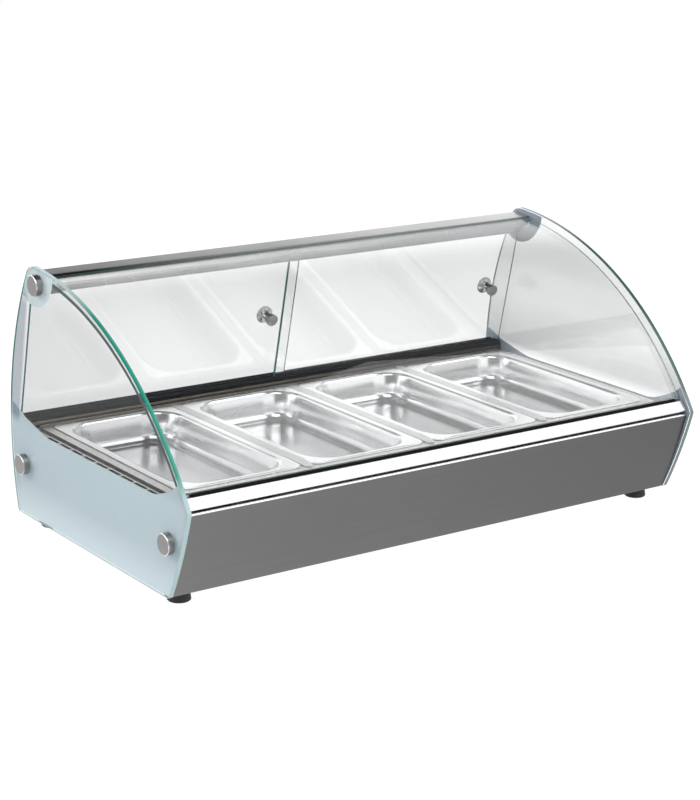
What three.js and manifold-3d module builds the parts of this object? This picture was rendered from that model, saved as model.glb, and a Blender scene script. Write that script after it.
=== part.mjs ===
// Heated countertop display case: curved front glass, clear end panels, sliding rear doors and four food pans.
// Millimetres, +Z up. The length runs along X, the customer side faces -Y and the feet stand on Z = 0.
import * as THREE from 'three';
import { mergeVertices } from 'three/addons/utils/BufferGeometryUtils.js';
import Module from 'manifold-3d';

const wasm = await Module();
wasm.setup();

// Height from the surface that the feet stand on to the top of the end panels
const caseHeight = 359.5;

// Clearances and cutting allowances shared by every piece
const fitGap = 0.3;
const overrun = 6;
const roundness = 0.06;
const angleTolerance = 1e-6;
const sheetThickness = 1.5;

// End panels: toughened glass, every corner a tangent arc
const panelThickness = 6;
const frontCornerRadius = 6;
const frontBottomSetback = 44.7;
const lowerFrontRadius = 650;
const upperFrontRadius = 473;
const backBulgeBelowDeck = 1.5;
const topRoundRadius = 23;
const topRoundSetback = 75.2;
const bottomCornerRadius = 5;

// Panel bolts: a large chamfered cap outside and a stud into the frame
const capRadius = 14;
const capHeight = 9;
const capChamfer = 1.6;
const studRadius = 2.5;
const studReach = 9;
const washerRadius = 9;
const bodySideClearance = 2;
const topBoltBeforeRound = 13;
const topBoltAboveRound = 1.5;
const backBoltFromBack = 38.7;
const frontBoltFromFront = 41.7;
const lowerBoltBelowDeck = 46.2;
const insertRadius = 6;

// Front glass, its gasket and the bright band below it
const frontGlassInset = 9.5;
const frontGlassThickness = 5;
const frontGlassSideGap = 2;
const bandRise = 15;
const bandInset = 6.4;
const bandBottomRise = 1.2;
const bandFlangeDepth = 11.3;
const bandReturnDepth = 7;
const gasketThickness = 0.8;
const gasketFrontSetback = 0.6;
const gasketEndSetback = 10;
const gasketLipDepth = 2.3;
const gasketLipHeight = 1.8;

// Lower front panel
const frontPanelInset = 5;
const frontPanelTopGap = 2.9;
const frontPanelFootSetback = 2;
const frontPanelTopReturn = 14;
const frontPanelBottomReturn = 16;

// Deck: a sheet with a raised plateau round the pans and vented side margins
const deckHeight = 134;
const plateauRise = 5.5;
const plateauBorder = 13;
const deckMarginWidth = 9.2;
const frontSpace = 53.7;
const backSpace = 13;
const plateauCornerRadius = 8;
const deckFrontSetback = 25.7;
const deckFlangeDepth = 12;
const ventCount = 9;
const ventPitch = 32;
const ventLength = 28;
const ventWidth = 4.2;
const ventRowShift = -6.5;

// Rear panel and base tray
const rearPanelInset = 7.7;
const baseFlangeHeight = 14;
const baseFrontSetback = 65.7;
const sideNotchSetback = 22;

// Food pans, one third gastronorm size
const panCount = 4;
const panRimWidth = 176;
const panRimLength = 325;
const panRimCornerRadius = 14;
const panSideFlange = 13;
const panEndFlange = 12.5;
const panOpeningRadius = 38;
const panDepth = 40;
const panWall = 1.2;
const panTaper = 4;
const panFloorRadius = 13;
const panSideGap = 0.5;
const panCornerSteps = 5;

// Well under the pans
const wellMargin = 3.8;
const wellFloorDrop = 39;

// Divider bars between the pans
const barRibWidth = 13;
const barRibRise = 1.5;
const barOverhang = 4;
const barFlangeWidth = 28;
const barWebDepth = 12;
const barWebThickness = 3;

// Heating elements, their brackets and the insulation under them
const elementRadius = 4;
const elementSpacing = 74;
const elementEndGap = 35;
const elementRowOffset = 80;
const elementBendSteps = 10;
const bracketWidth = 25;
const bracketFromEnd = 145;
const bracketFoot = 14;
const bracketMargin = 14;
const insulationMargin = 12;

// Door sill and the plastic double track on it
const sillGap = 4.7;
const sillRise = 12.5;
const sillBackDrop = 10;
const sillSideGap = 1;
const trackWidth = 27;
const trackSetback = 1;
const trackHeight = 4;
const trackFloor = 1.4;
const trackSideGap = 4;
const trackFrontGrooveOffset = 7;
const trackMiddleSlotWidth = 3;
const trackMiddleSlotDepth = 1.6;

// Sliding doors: two leaning glass leaves on tracks one behind the other
const doorThickness = 5;
const doorPitch = 13.5;
const doorOverlap = 24;
const doorSideGap = 3;
const doorRunGap = 0.6;
const doorInsertion = 8;
const doorLiftRoom = 4;
const doorHoleRadius = 4;

// Door knobs: a trumpet shape outside, a small cap inside
const knobBelowTop = 123.5;
const leftKnobFromMeeting = 35;
const rightKnobFromEnd = 34.5;
const knobDiscRadius = 12.8;
const knobNeckRadius = 5.5;
const knobFootRadius = 7;
const knobLength = 15.5;
const knobRimThickness = 2.6;
const knobCapRadius = 8.5;
const knobCapThickness = 6.2;
const knobCapChamfer = 0.8;
const knobStudRadius = 2.5;
const knobStudEntry = 4;

// Top rail: an aluminium extrusion that holds the glass and guides the doors
const railTopInset = 7.5;
const railBackInset = 6.5;
const railFrontBehindRound = 20.5;
const railLipReach = 6;
const railLipThickness = 2;
const railBendBehindRound = 15.7;
const railMouthFront = 1.9;
const railMouthDrop = 15;
const railBackDrop = 19.5;
const railCornerRadius = 2.5;
const railChamberRadius = 3.6;
const railChamberLength = 7;
const railChamberRise = 8;
const railPortRadius = 6.5;

// Feet
const footRadius = 15;
const footTopRadius = 13;
const footHeight = 16.2;
const footEdge = 1.5;
const footSideSetback = 32;
const footFrontSetback = 73.7;
const footBackSetback = 50.7;
const footSpigotRadius = 3.7;
const footSpigotReach = 6;

// Operator controls on the rear panel
const controlHeight = 78;
const thermostatFromEnd = 160;
const lampFromEnd = 110;
const switchFromEnd = 75;
const glandFromEnd = 45;
const glandHeight = 42;
const dialRadius = 18;
const dialSkirtRadius = 20;
const dialSkirtThickness = 2.2;
const dialLength = 17;
const dialGripRadius = 1.6;
const dialGrips = 12;
const shaftRadius = 3;
const shaftEntry = 10;
const thermostatSize = 34;
const thermostatDepth = 30;
const thermostatNeckRadius = 8;
const lampRadius = 6.5;
const lampBodyRadius = 5;
const lampBodyLength = 24;
const switchWidth = 22;
const switchHeight = 30;
const switchLip = 2;
const switchWall = 2;
const switchDepth = 20;
const rockerTilt = THREE.MathUtils.degToRad(7);
const rockerThickness = 7;
const rockerClearance = 0.6;
const rockerPinRadius = 1.5;
const rockerPinLength = 1;
const glandRadius = 9;
const glandBoreRadius = 4;
const glandThreadRadius = 7;
const glandLength = 16;
const glandInside = 12;
const glandFlange = 4;

// Terminal block and rear vents
const terminalLength = 60;
const terminalDepth = 22;
const terminalHeight = 18;
const terminalPorts = 5;
const terminalPortRadius = 2.5;
const terminalFromCentre = 90;
const rearVentCount = 8;
const rearVentPitch = 12;
const rearVentLength = 46;
const rearVentWidth = 4;
const rearVentFromCentre = 90;
const baseVentCount = 10;
const baseVentPitch = 50;
const baseVentLength = 36;
const baseVentWidth = 4;
const baseVentFromBack = 18;

// Turned pieces and the round ends of slots are drawn with this many sides
const fineSides = 24;
const smallSides = 16;
const tinySides = 8;
const slotSteps = 4;

// Length and depth add up from the pans and what stands round them
const panPitch = panRimWidth + barRibWidth + 2 * panSideGap;
const panOpeningWidth = panRimWidth - 2 * panSideFlange;
const panOpeningLength = panRimLength - 2 * panEndFlange;
const plateauHalfX = (panPitch * (panCount - 1)) / 2 + panRimWidth / 2 + plateauBorder;
const plateauHalfY = panRimLength / 2 + plateauBorder;
const sillDepth = trackWidth + 2 * trackSetback;
const sideBuild = fitGap + sheetThickness + bodySideClearance + panelThickness;
const halfLength = plateauHalfX + deckMarginWidth + sideBuild;
const behindPlateau = sillGap + sillDepth + backSpace;
const halfDepth = plateauHalfY + (frontSpace + behindPlateau) / 2;
const panRowCentre = (frontSpace - behindPlateau) / 2;
const panelInner = halfLength - panelThickness;
const bodyHalf = panelInner - bodySideClearance;
const sideInner = bodyHalf - sheetThickness;
const innerHalf = sideInner - fitGap;

// Heights that follow the feet and the deck
const panelBottomHeight = footHeight + fitGap;
const frontCornerHeight = deckHeight;
const backBulgeHeight = deckHeight - backBulgeBelowDeck;
const plateauHeight = deckHeight + plateauRise;
const bandTopHeight = deckHeight + bandRise;
const bandBottomHeight = deckHeight + bandBottomRise;
const frontPanelTopHeight = bandBottomHeight - frontPanelTopGap;
const sillTopHeight = deckHeight + sillRise;
const lowerBoltHeight = deckHeight - lowerBoltBelowDeck;

// Outlines of the end panel live in a plane with the depth across and the height up
const point = (y, z) => new THREE.Vector2(y, z);
const circle = (centre, radius) => ({ centre, radius });
const inset = (round, distance) => circle(round.centre, round.radius - distance);

function atHeight(round, z, side) {
  const rise = z - round.centre.y;
  return point(round.centre.x + side * Math.sqrt(round.radius ** 2 - rise ** 2), z);
}

function atDepth(round, y) {
  const run = y - round.centre.x;
  return point(y, round.centre.y + Math.sqrt(round.radius ** 2 - run ** 2));
}

// Where two circles cross; side picks the crossing on the left (+1) or right (-1) of the line from a to b
function circlesMeet(a, b, side) {
  const across = b.centre.clone().sub(a.centre);
  const span = across.length();
  const along = (a.radius ** 2 - b.radius ** 2 + span ** 2) / (2 * span);
  const away = side * Math.sqrt(a.radius ** 2 - along ** 2);
  across.divideScalar(span);
  return point(
    a.centre.x + along * across.x - away * across.y,
    a.centre.y + along * across.y + away * across.x
  );
}

// The point where a small circle touches a large one from inside
function touchPoint(large, small) {
  const outward = small.centre.clone().sub(large.centre).normalize();
  return small.centre.clone().addScaledVector(outward, small.radius);
}

// Points of an arc from one point to another, anticlockwise, with facets no deeper than the roundness.
// It also has a point at each quarter turn, so that the outline reaches its full height and depth.
function arc(round, from, to) {
  const start = Math.atan2(from.y - round.centre.y, from.x - round.centre.x);
  let sweep = Math.atan2(to.y - round.centre.y, to.x - round.centre.x) - start;
  if (sweep < 0) sweep += 2 * Math.PI;
  const quarter = Math.PI / 2;
  const stops = [start];
  let turn = Math.floor(start / quarter + angleTolerance) + 1;
  while (turn * quarter < start + sweep - angleTolerance) {
    stops.push(turn * quarter);
    turn += 1;
  }
  stops.push(start + sweep);
  const largestStep = 2 * Math.acos(1 - Math.min(roundness / round.radius, 0.3));
  const points = [];
  for (let k = 0; k + 1 < stops.length; k += 1) {
    const steps = Math.ceil((stops[k + 1] - stops[k]) / largestStep);
    for (let i = k === 0 ? 0 : 1; i <= steps; i += 1) {
      const angle = stops[k] + ((stops[k + 1] - stops[k]) * i) / steps;
      points.push(point(
        round.centre.x + round.radius * Math.cos(angle),
        round.centre.y + round.radius * Math.sin(angle)
      ));
    }
  }
  return points;
}

// Rounds the corners of an outline; each corner is a point with its radius, zero leaves it sharp
function rounded(corners) {
  const points = [];
  corners.forEach(([corner, radius], i) => {
    const before = corners[(i + corners.length - 1) % corners.length][0];
    const after = corners[(i + 1) % corners.length][0];
    if (radius === 0) {
      points.push(corner);
      return;
    }
    const back = before.clone().sub(corner);
    const ahead = after.clone().sub(corner);
    const half = Math.acos(back.clone().normalize().dot(ahead.clone().normalize())) / 2;
    const trim = Math.min(radius / Math.tan(half), back.length() / 2, ahead.length() / 2);
    const used = trim * Math.tan(half);
    back.setLength(trim);
    ahead.setLength(trim);
    const turn = back.x * ahead.y - back.y * ahead.x;
    const inward = back.clone().add(ahead).setLength(used / Math.sin(half));
    const round = circle(corner.clone().add(inward), used);
    const first = corner.clone().add(back);
    const last = corner.clone().add(ahead);
    points.push(...(turn < 0 ? arc(round, first, last) : arc(round, last, first).reverse()));
  });
  return points;
}

// A bent sheet: its outer line and the line one thickness to the left of it, mitred at each bend
function bentSheet(line, thickness) {
  const normals = [];
  for (let i = 0; i + 1 < line.length; i += 1) {
    const run = line[i + 1].clone().sub(line[i]).normalize();
    normals.push(point(-run.y, run.x));
  }
  const offset = line.map((corner, i) => {
    const first = normals[Math.max(i - 1, 0)];
    const second = normals[Math.min(i, normals.length - 1)];
    const mitre = first.clone().add(second).normalize();
    return corner.clone().addScaledVector(mitre, thickness / mitre.dot(first));
  });
  return [...line, ...offset.reverse()];
}

// A prism along X whose outline is drawn in depth and height
function prismX(outline, x0, x1, holes = []) {
  const shape = new THREE.Shape(outline);
  shape.holes = holes.map((hole) => new THREE.Path(hole));
  const geometry = new THREE.ExtrudeGeometry(shape, { depth: x1 - x0, bevelEnabled: false });
  const axes = new THREE.Matrix4().makeBasis(
    new THREE.Vector3(0, 1, 0),
    new THREE.Vector3(0, 0, 1),
    new THREE.Vector3(1, 0, 0)
  );
  return geometry.applyMatrix4(axes).translate(x0, 0, 0);
}

// A prism along Z whose outline is drawn in X and Y
function prismZ(outline, z0, z1) {
  const geometry = new THREE.ExtrudeGeometry(new THREE.Shape(outline), { depth: z1 - z0, bevelEnabled: false });
  return geometry.translate(0, 0, z0);
}

function block(x0, x1, y0, y1, z0, z1) {
  const geometry = new THREE.BoxGeometry(x1 - x0, y1 - y0, z1 - z0);
  return geometry.translate((x0 + x1) / 2, (y0 + y1) / 2, (z0 + z1) / 2);
}

// Corner points of a rectangle with round corners, the same number of points for every radius
function ringOutline(halfX, halfY, radius, steps) {
  const points = [];
  for (let corner = 0; corner < 4; corner += 1) {
    const signX = corner === 0 || corner === 3 ? 1 : -1;
    const signY = corner < 2 ? 1 : -1;
    for (let i = 0; i <= steps; i += 1) {
      const angle = (Math.PI / 2) * (corner + i / steps);
      points.push(new THREE.Vector2(
        signX * (halfX - radius) + radius * Math.cos(angle),
        signY * (halfY - radius) + radius * Math.sin(angle)
      ));
    }
  }
  return points;
}

// A slot with round ends about the middle, along Y or along X
function slotOutline(halfLong, halfWide, alongY) {
  const points = [];
  for (let end = 0; end < 2; end += 1) {
    for (let i = 0; i <= slotSteps; i += 1) {
      const angle = Math.PI * (end + i / slotSteps - 0.5);
      const reach = (end === 0 ? 1 : -1) * (halfLong - halfWide) + halfWide * Math.cos(angle);
      const off = halfWide * Math.sin(angle);
      points.push(alongY ? new THREE.Vector2(-off, reach) : new THREE.Vector2(reach, off));
    }
  }
  return points;
}

// A closed body skinned over rings of equal count, from the first ring's cap to the last ring's cap
function loft(rings) {
  const count = rings[0].outline.length;
  const positions = [];
  const indices = [];
  rings.forEach(({ outline, z }) => outline.forEach((p) => positions.push(p.x, p.y, z)));
  for (let ring = 0; ring + 1 < rings.length; ring += 1) {
    for (let i = 0; i < count; i += 1) {
      const next = (i + 1) % count;
      const low = ring * count;
      const high = low + count;
      indices.push(low + i, low + next, high + next, low + i, high + next, high + i);
    }
  }
  const last = (rings.length - 1) * count;
  for (let i = 1; i + 1 < count; i += 1) {
    indices.push(0, i + 1, i, last, last + i, last + i + 1);
  }
  const geometry = new THREE.BufferGeometry();
  geometry.setAttribute('position', new THREE.Float32BufferAttribute(positions, 3));
  geometry.setIndex(indices);
  return geometry;
}

// A turned body about Z; the profile holds radius and height pairs and starts and ends on the axis
function turned(profile, sides) {
  const points = profile.map(([radius, height]) => new THREE.Vector2(radius, height));
  return new THREE.LatheGeometry(points, sides).rotateX(Math.PI / 2);
}

const rod = (radius, z0, z1, sides) => turned([[0, z0], [radius, z0], [radius, z1], [0, z1]], sides);
const towardsX = (geometry, sign) => geometry.rotateY((sign * Math.PI) / 2);
const towardsBack = (geometry) => geometry.rotateX(-Math.PI / 2);

function solidOf(geometry) {
  const bare = geometry.clone();
  bare.deleteAttribute('normal');
  bare.deleteAttribute('uv');
  const merged = mergeVertices(bare);
  return new wasm.Manifold(new wasm.Mesh({
    numProp: 3,
    vertProperties: merged.attributes.position.array,
    triVerts: Uint32Array.from(merged.index.array)
  }));
}

function geometryOf(solid) {
  const mesh = solid.getMesh();
  const geometry = new THREE.BufferGeometry();
  geometry.setAttribute('position', new THREE.BufferAttribute(mesh.vertProperties, 3));
  geometry.setIndex(new THREE.BufferAttribute(mesh.triVerts, 1));
  geometry.computeVertexNormals();
  return geometry;
}

const join = (first, ...others) => geometryOf(others.reduce((sum, next) => sum.add(solidOf(next)), solidOf(first)));
const cut = (first, ...tools) => geometryOf(tools.reduce((rest, tool) => rest.subtract(solidOf(tool)), solidOf(first)));

// Finishes
const clearGlass = { color: 0xdfeeea, metalness: 0, roughness: 0.05, transparent: true, opacity: 0.3 };
const panelGlass = { color: 0xb8cbd1, metalness: 0, roughness: 0.1, transparent: true, opacity: 0.55 };
const brushedSteel = { color: 0x767676, metalness: 0.85, roughness: 0.42 };
const brightSteel = { color: 0xe4e6e7, metalness: 0.9, roughness: 0.25 };
const satinSteel = { color: 0xb9b6b4, metalness: 0.9, roughness: 0.38 };
const chrome = { color: 0xd8d8d8, metalness: 1, roughness: 0.08 };
const railAluminium = { color: 0xb4b5b8, metalness: 0.8, roughness: 0.35 };
const zincSheet = { color: 0x9fa3a6, metalness: 0.8, roughness: 0.5 };
const blackPlastic = { color: 0x17171a, metalness: 0, roughness: 0.5 };
const blackRubber = { color: 0x101011, metalness: 0, roughness: 0.8 };
const clearPlastic = { color: 0xd9dcdc, metalness: 0, roughness: 0.4 };
const mineralWool = { color: 0xc9bd94, metalness: 0, roughness: 0.95 };
const elementSteel = { color: 0x6d655f, metalness: 0.8, roughness: 0.5 };
const ceramicWhite = { color: 0xe9e6dd, metalness: 0, roughness: 0.6 };
const lampRed = { color: 0xc8371e, metalness: 0, roughness: 0.25 };

const model = new THREE.Group();

function addPart(name, geometry, finish, parent = model) {
  const mesh = new THREE.Mesh(geometry, new THREE.MeshStandardMaterial(finish));
  mesh.name = name;
  parent.add(mesh);
  return mesh;
}

// The two ends are mirror images: side is -1 for the left end and +1 for the right end
const sides = [['left', -1], ['right', 1]];
const slab = (sign, inner, outer) => (sign < 0 ? [-outer, -inner] : [inner, outer]);

// End panel outline, built from the circles that touch one another
const topRound = circle(point(halfDepth - topRoundSetback, caseHeight - topRoundRadius), topRoundRadius);
const topRoundRise = topRound.centre.y - backBulgeHeight;
const backRadius = (topRoundSetback ** 2 + topRoundRise ** 2 - topRoundRadius ** 2)
  / (2 * (topRoundSetback - topRoundRadius));
const backCircle = circle(point(halfDepth - backRadius, backBulgeHeight), backRadius);
const frontRound = circle(point(-halfDepth + frontCornerRadius, frontCornerHeight), frontCornerRadius);
const upperFront = circle(
  circlesMeet(
    circle(frontRound.centre, upperFrontRadius - frontCornerRadius),
    circle(topRound.centre, upperFrontRadius - topRoundRadius),
    -1
  ),
  upperFrontRadius
);
const frontBottom = point(-halfDepth + frontBottomSetback, panelBottomHeight);
const lowerFront = circle(
  circlesMeet(
    circle(frontRound.centre, lowerFrontRadius - frontCornerRadius),
    circle(frontBottom, lowerFrontRadius),
    1
  ),
  lowerFrontRadius
);
const bottomRoundHeight = panelBottomHeight + bottomCornerRadius;
const frontFoot = circle(atHeight(inset(lowerFront, bottomCornerRadius), bottomRoundHeight, -1), bottomCornerRadius);
const backFoot = circle(atHeight(inset(backCircle, bottomCornerRadius), bottomRoundHeight, 1), bottomCornerRadius);

function panelOutline() {
  const below = (round) => point(round.centre.x, panelBottomHeight);
  return [
    ...arc(backFoot, below(backFoot), touchPoint(backCircle, backFoot)),
    ...arc(backCircle, touchPoint(backCircle, backFoot), touchPoint(backCircle, topRound)).slice(1),
    ...arc(topRound, touchPoint(backCircle, topRound), touchPoint(upperFront, topRound)).slice(1),
    ...arc(upperFront, touchPoint(upperFront, topRound), touchPoint(upperFront, frontRound)).slice(1),
    ...arc(frontRound, touchPoint(upperFront, frontRound), touchPoint(lowerFront, frontRound)).slice(1),
    ...arc(lowerFront, touchPoint(lowerFront, frontRound), touchPoint(lowerFront, frontFoot)).slice(1),
    ...arc(frontFoot, touchPoint(lowerFront, frontFoot), below(frontFoot)).slice(1)
  ];
}

const boltPlaces = {
  top: point(topRound.centre.x - topBoltBeforeRound, topRound.centre.y + topBoltAboveRound),
  back: point(halfDepth - backBoltFromBack, lowerBoltHeight),
  front: point(-halfDepth + frontBoltFromFront, lowerBoltHeight)
};
const studHoleRadius = studRadius + fitGap;

// A round tool or pin along X at a place in depth and height
function rodAlongX(radius, place, x0, x1, sideCount) {
  return towardsX(rod(radius, x0, x1, sideCount), 1).translate(0, place.x, place.y);
}

function addEndPanels() {
  sides.forEach(([name, sign]) => {
    const [x0, x1] = slab(sign, panelInner, halfLength);
    const holes = Object.values(boltPlaces).map((place) => {
      return rodAlongX(studHoleRadius, place, x0 - overrun, x1 + overrun, smallSides);
    });
    addPart(`${name}_end_panel`, cut(prismX(panelOutline(), x0, x1), ...holes), panelGlass);
  });
}

// Each bolt is a chamfered cap with its stud; each washer spaces the glass from the frame
function addPanelBolts() {
  const capBase = halfLength + fitGap;
  const capEnd = capBase + capHeight;
  const studEnd = bodyHalf - studReach;
  const bolt = [
    [0, studEnd],
    [studRadius, studEnd],
    [studRadius, capBase],
    [capRadius, capBase],
    [capRadius, capEnd - capChamfer],
    [capRadius - capChamfer, capEnd],
    [0, capEnd]
  ];
  const washer = [
    [studHoleRadius, bodyHalf + fitGap],
    [washerRadius, bodyHalf + fitGap],
    [washerRadius, panelInner - fitGap],
    [studHoleRadius, panelInner - fitGap],
    [studHoleRadius, bodyHalf + fitGap]
  ];
  sides.forEach(([name, sign]) => {
    Object.entries(boltPlaces).forEach(([where, place]) => {
      const boltBody = towardsX(turned(bolt, fineSides), sign).translate(0, place.x, place.y);
      const washerBody = towardsX(turned(washer, smallSides), sign).translate(0, place.x, place.y);
      addPart(`${name}_${where}_bolt`, boltBody, satinSteel);
      addPart(`${name}_${where}_washer`, washerBody, clearPlastic);
    });
  });
}

// Lower front panel: a shallow curve with a folded top edge and a bottom return
const frontPanelTop = atHeight(inset(lowerFront, frontPanelInset), frontPanelTopHeight, -1);
const frontPanelBottom = point(frontBottom.x + frontPanelFootSetback, panelBottomHeight);
const frontPanelCircle = circle(
  circlesMeet(circle(frontPanelTop, lowerFrontRadius), circle(frontPanelBottom, lowerFrontRadius), 1),
  lowerFrontRadius
);

function addFrontPanel() {
  const face = arc(frontPanelCircle, frontPanelTop, frontPanelBottom);
  const line = [
    point(frontPanelTop.x + frontPanelTopReturn, frontPanelTopHeight),
    ...face,
    point(frontPanelBottom.x + frontPanelBottomReturn, panelBottomHeight)
  ];
  addPart('front_panel', prismX(bentSheet(line, sheetThickness), -bodyHalf, bodyHalf), brushedSteel);
}

// Front band: leans with the glass above it and steps down on to the deck behind
const bandBottom = atHeight(inset(lowerFront, frontPanelInset), bandBottomHeight, -1);
const bandTop = atHeight(inset(upperFront, bandInset), bandTopHeight, -1);
const bandBack = bandTop.x + bandFlangeDepth;

function addFrontBand() {
  const line = [
    point(bandBack, deckHeight + fitGap),
    point(bandBack, bandTopHeight),
    bandTop,
    bandBottom,
    point(bandBottom.x + bandReturnDepth, bandBottomHeight)
  ];
  addPart('front_band', prismX(bentSheet(line, sheetThickness), -bodyHalf, bodyHalf), brightSteel);
}

// Front glass: a curved pane, concentric with the end panels, that stands in the gasket and butts the rail
const glassOuter = inset(upperFront, frontGlassInset);
const glassInner = inset(glassOuter, frontGlassThickness);
const gasketBottom = bandTopHeight + fitGap;
const gasketTop = gasketBottom + gasketThickness;
const glassBottom = gasketTop + fitGap;
const railFront = topRound.centre.x - railFrontBehindRound;
const glassTop = railFront - 2 * fitGap;

function glassOutline(outer, inner, bottom) {
  return [
    ...arc(outer, atDepth(outer, glassTop), atHeight(outer, bottom, -1)),
    ...arc(inner, atDepth(inner, glassTop), atHeight(inner, bottom, -1)).reverse()
  ];
}

function addFrontGlass() {
  const half = panelInner - frontGlassSideGap;
  addPart('front_glass', prismX(glassOutline(glassOuter, glassInner, glassBottom), -half, half), clearGlass);
}

// Gasket: a flat mat over the flange of the band, with a low lip in front of the glass that stands on it
function addGasket() {
  const front = bandTop.x + gasketFrontSetback;
  const half = bodyHalf - gasketEndSetback;
  const lipBack = atHeight(glassOuter, glassBottom, -1).x - fitGap;
  const lipFront = lipBack - gasketLipDepth;
  const lipTop = gasketTop + gasketLipHeight;
  const outline = [
    point(front, gasketBottom),
    point(bandBack, gasketBottom),
    point(bandBack, gasketTop),
    point(lipBack, gasketTop),
    point(lipBack, lipTop),
    point(lipFront, lipTop),
    point(lipFront, gasketTop),
    point(front, gasketTop)
  ];
  addPart('glass_gasket', prismX(outline, -half, half), blackRubber);
}

// Deck with a raised plateau, the well opening and a row of vents down each side
const wellHalfX = (panPitch * (panCount - 1)) / 2 + panOpeningWidth / 2 + panWall + wellMargin;
const wellHalfY = panOpeningLength / 2 + panWall + wellMargin;
const deckFront = -halfDepth + deckFrontSetback;
const sillFront = panRowCentre + plateauHalfY + sillGap;
const sillBack = sillFront + sillDepth;
const rearOuter = sillBack - rearPanelInset;
const rearInner = rearOuter - sheetThickness;
const deckBack = rearInner - fitGap;

function addDeck() {
  const underDeck = deckHeight - sheetThickness;
  const flangeBottom = deckHeight - deckFlangeDepth;
  const sheet = block(-innerHalf, innerHalf, deckFront, deckBack, flangeBottom, deckHeight);
  const under = block(
    -innerHalf + sheetThickness, innerHalf - sheetThickness,
    deckFront + sheetThickness, deckBack + overrun, flangeBottom - overrun, underDeck
  );
  const plateauRing = (shrink) => ringOutline(
    plateauHalfX - shrink, plateauHalfY - shrink, plateauCornerRadius - shrink, panCornerSteps
  );
  const plateau = prismZ(plateauRing(0), deckHeight - sheetThickness / 2, plateauHeight).translate(0, panRowCentre, 0);
  const hollow = prismZ(plateauRing(sheetThickness), underDeck - overrun, plateauHeight - sheetThickness)
    .translate(0, panRowCentre, 0);
  const opening = block(
    -wellHalfX, wellHalfX, panRowCentre - wellHalfY, panRowCentre + wellHalfY, flangeBottom, plateauHeight + overrun
  );
  const vents = [];
  const marginMiddle = (plateauHalfX + innerHalf) / 2;
  sides.forEach(([, sign]) => {
    for (let i = 0; i < ventCount; i += 1) {
      const y = panRowCentre + ventRowShift + (i - (ventCount - 1) / 2) * ventPitch;
      const slot = prismZ(slotOutline(ventLength / 2, ventWidth / 2, true), underDeck - overrun, deckHeight + overrun);
      vents.push(slot.translate(sign * marginMiddle, y, 0));
    }
  });
  const pressed = join(cut(sheet, under), plateau);
  addPart('deck_plate', cut(pressed, hollow, opening, ...vents), brightSteel);
}

// Side plates stand inside the washers and carry the deck, the front panel and the base
function addSidePlates() {
  const front = inset(frontPanelCircle, sheetThickness + fitGap);
  const low = panelBottomHeight + sheetThickness + fitGap;
  const notch = point(-halfDepth + sideNotchSetback, frontPanelTopHeight - sheetThickness - 2 * fitGap);
  const outline = [
    point(rearInner - fitGap, low),
    point(rearInner - fitGap, deckHeight),
    point(notch.x, deckHeight),
    notch,
    ...arc(front, atHeight(front, notch.y, -1), atHeight(front, low, -1))
  ];
  sides.forEach(([name, sign]) => {
    const [x0, x1] = slab(sign, sideInner, bodyHalf);
    const inserts = ['back', 'front'].map((where) => {
      const [i0, i1] = slab(sign, sideInner - studReach, bodyHalf);
      return rodAlongX(insertRadius, boltPlaces[where], i0, i1, smallSides);
    });
    const bores = ['back', 'front'].map((where) => {
      const [b0, b1] = slab(sign, sideInner - studReach - overrun, bodyHalf + overrun);
      return rodAlongX(studHoleRadius, boltPlaces[where], b0, b1, smallSides);
    });
    addPart(`${name}_side_plate`, cut(join(prismX(outline, x0, x1), ...inserts), ...bores), zincSheet);
  });
}

// Base tray: floor, four upstands, vents and the holes for the feet
const footPlaces = [];
[['front', -halfDepth + footFrontSetback], ['back', halfDepth - footBackSetback]].forEach(([row, y]) => {
  sides.forEach(([name, sign]) => {
    footPlaces.push({ name: `${row}_${name}_foot`, x: sign * (halfLength - footSideSetback), y });
  });
});

function addBaseTray() {
  const floorTop = panelBottomHeight + sheetThickness;
  const rim = floorTop + baseFlangeHeight;
  const front = -halfDepth + baseFrontSetback;
  const back = rearInner - fitGap;
  const tray = block(-innerHalf, innerHalf, front, back, panelBottomHeight, rim);
  const room = block(
    -innerHalf + sheetThickness, innerHalf - sheetThickness,
    front + sheetThickness, back - sheetThickness, floorTop, rim + overrun
  );
  const tools = [room];
  footPlaces.forEach(({ x, y }) => {
    const hole = rod(footSpigotRadius + fitGap, panelBottomHeight - overrun, floorTop + overrun, smallSides);
    tools.push(hole.translate(x, y, 0));
  });
  for (let i = 0; i < baseVentCount; i += 1) {
    const x = (i - (baseVentCount - 1) / 2) * baseVentPitch;
    const outline = slotOutline(baseVentLength / 2, baseVentWidth / 2, false);
    const vent = prismZ(outline, panelBottomHeight - overrun, floorTop + overrun);
    tools.push(vent.translate(x, back - baseVentFromBack, 0));
  }
  addPart('base_tray', cut(tray, ...tools), zincSheet);
}

function addFeet() {
  const foot = [
    [0, 0],
    [footRadius - footEdge, 0],
    [footRadius, footEdge],
    [footTopRadius, footHeight],
    [footSpigotRadius, footHeight],
    [footSpigotRadius, footHeight + footSpigotReach],
    [0, footHeight + footSpigotReach]
  ];
  footPlaces.forEach(({ name, x, y }) => {
    addPart(name, turned(foot, fineSides).translate(x, y, 0), blackRubber);
  });
}

// Food pans: rings from the floor up the outside, over the rim and down the inside
const rimTop = plateauHeight + fitGap + panWall;
const panFloor = rimTop - panDepth;

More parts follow.
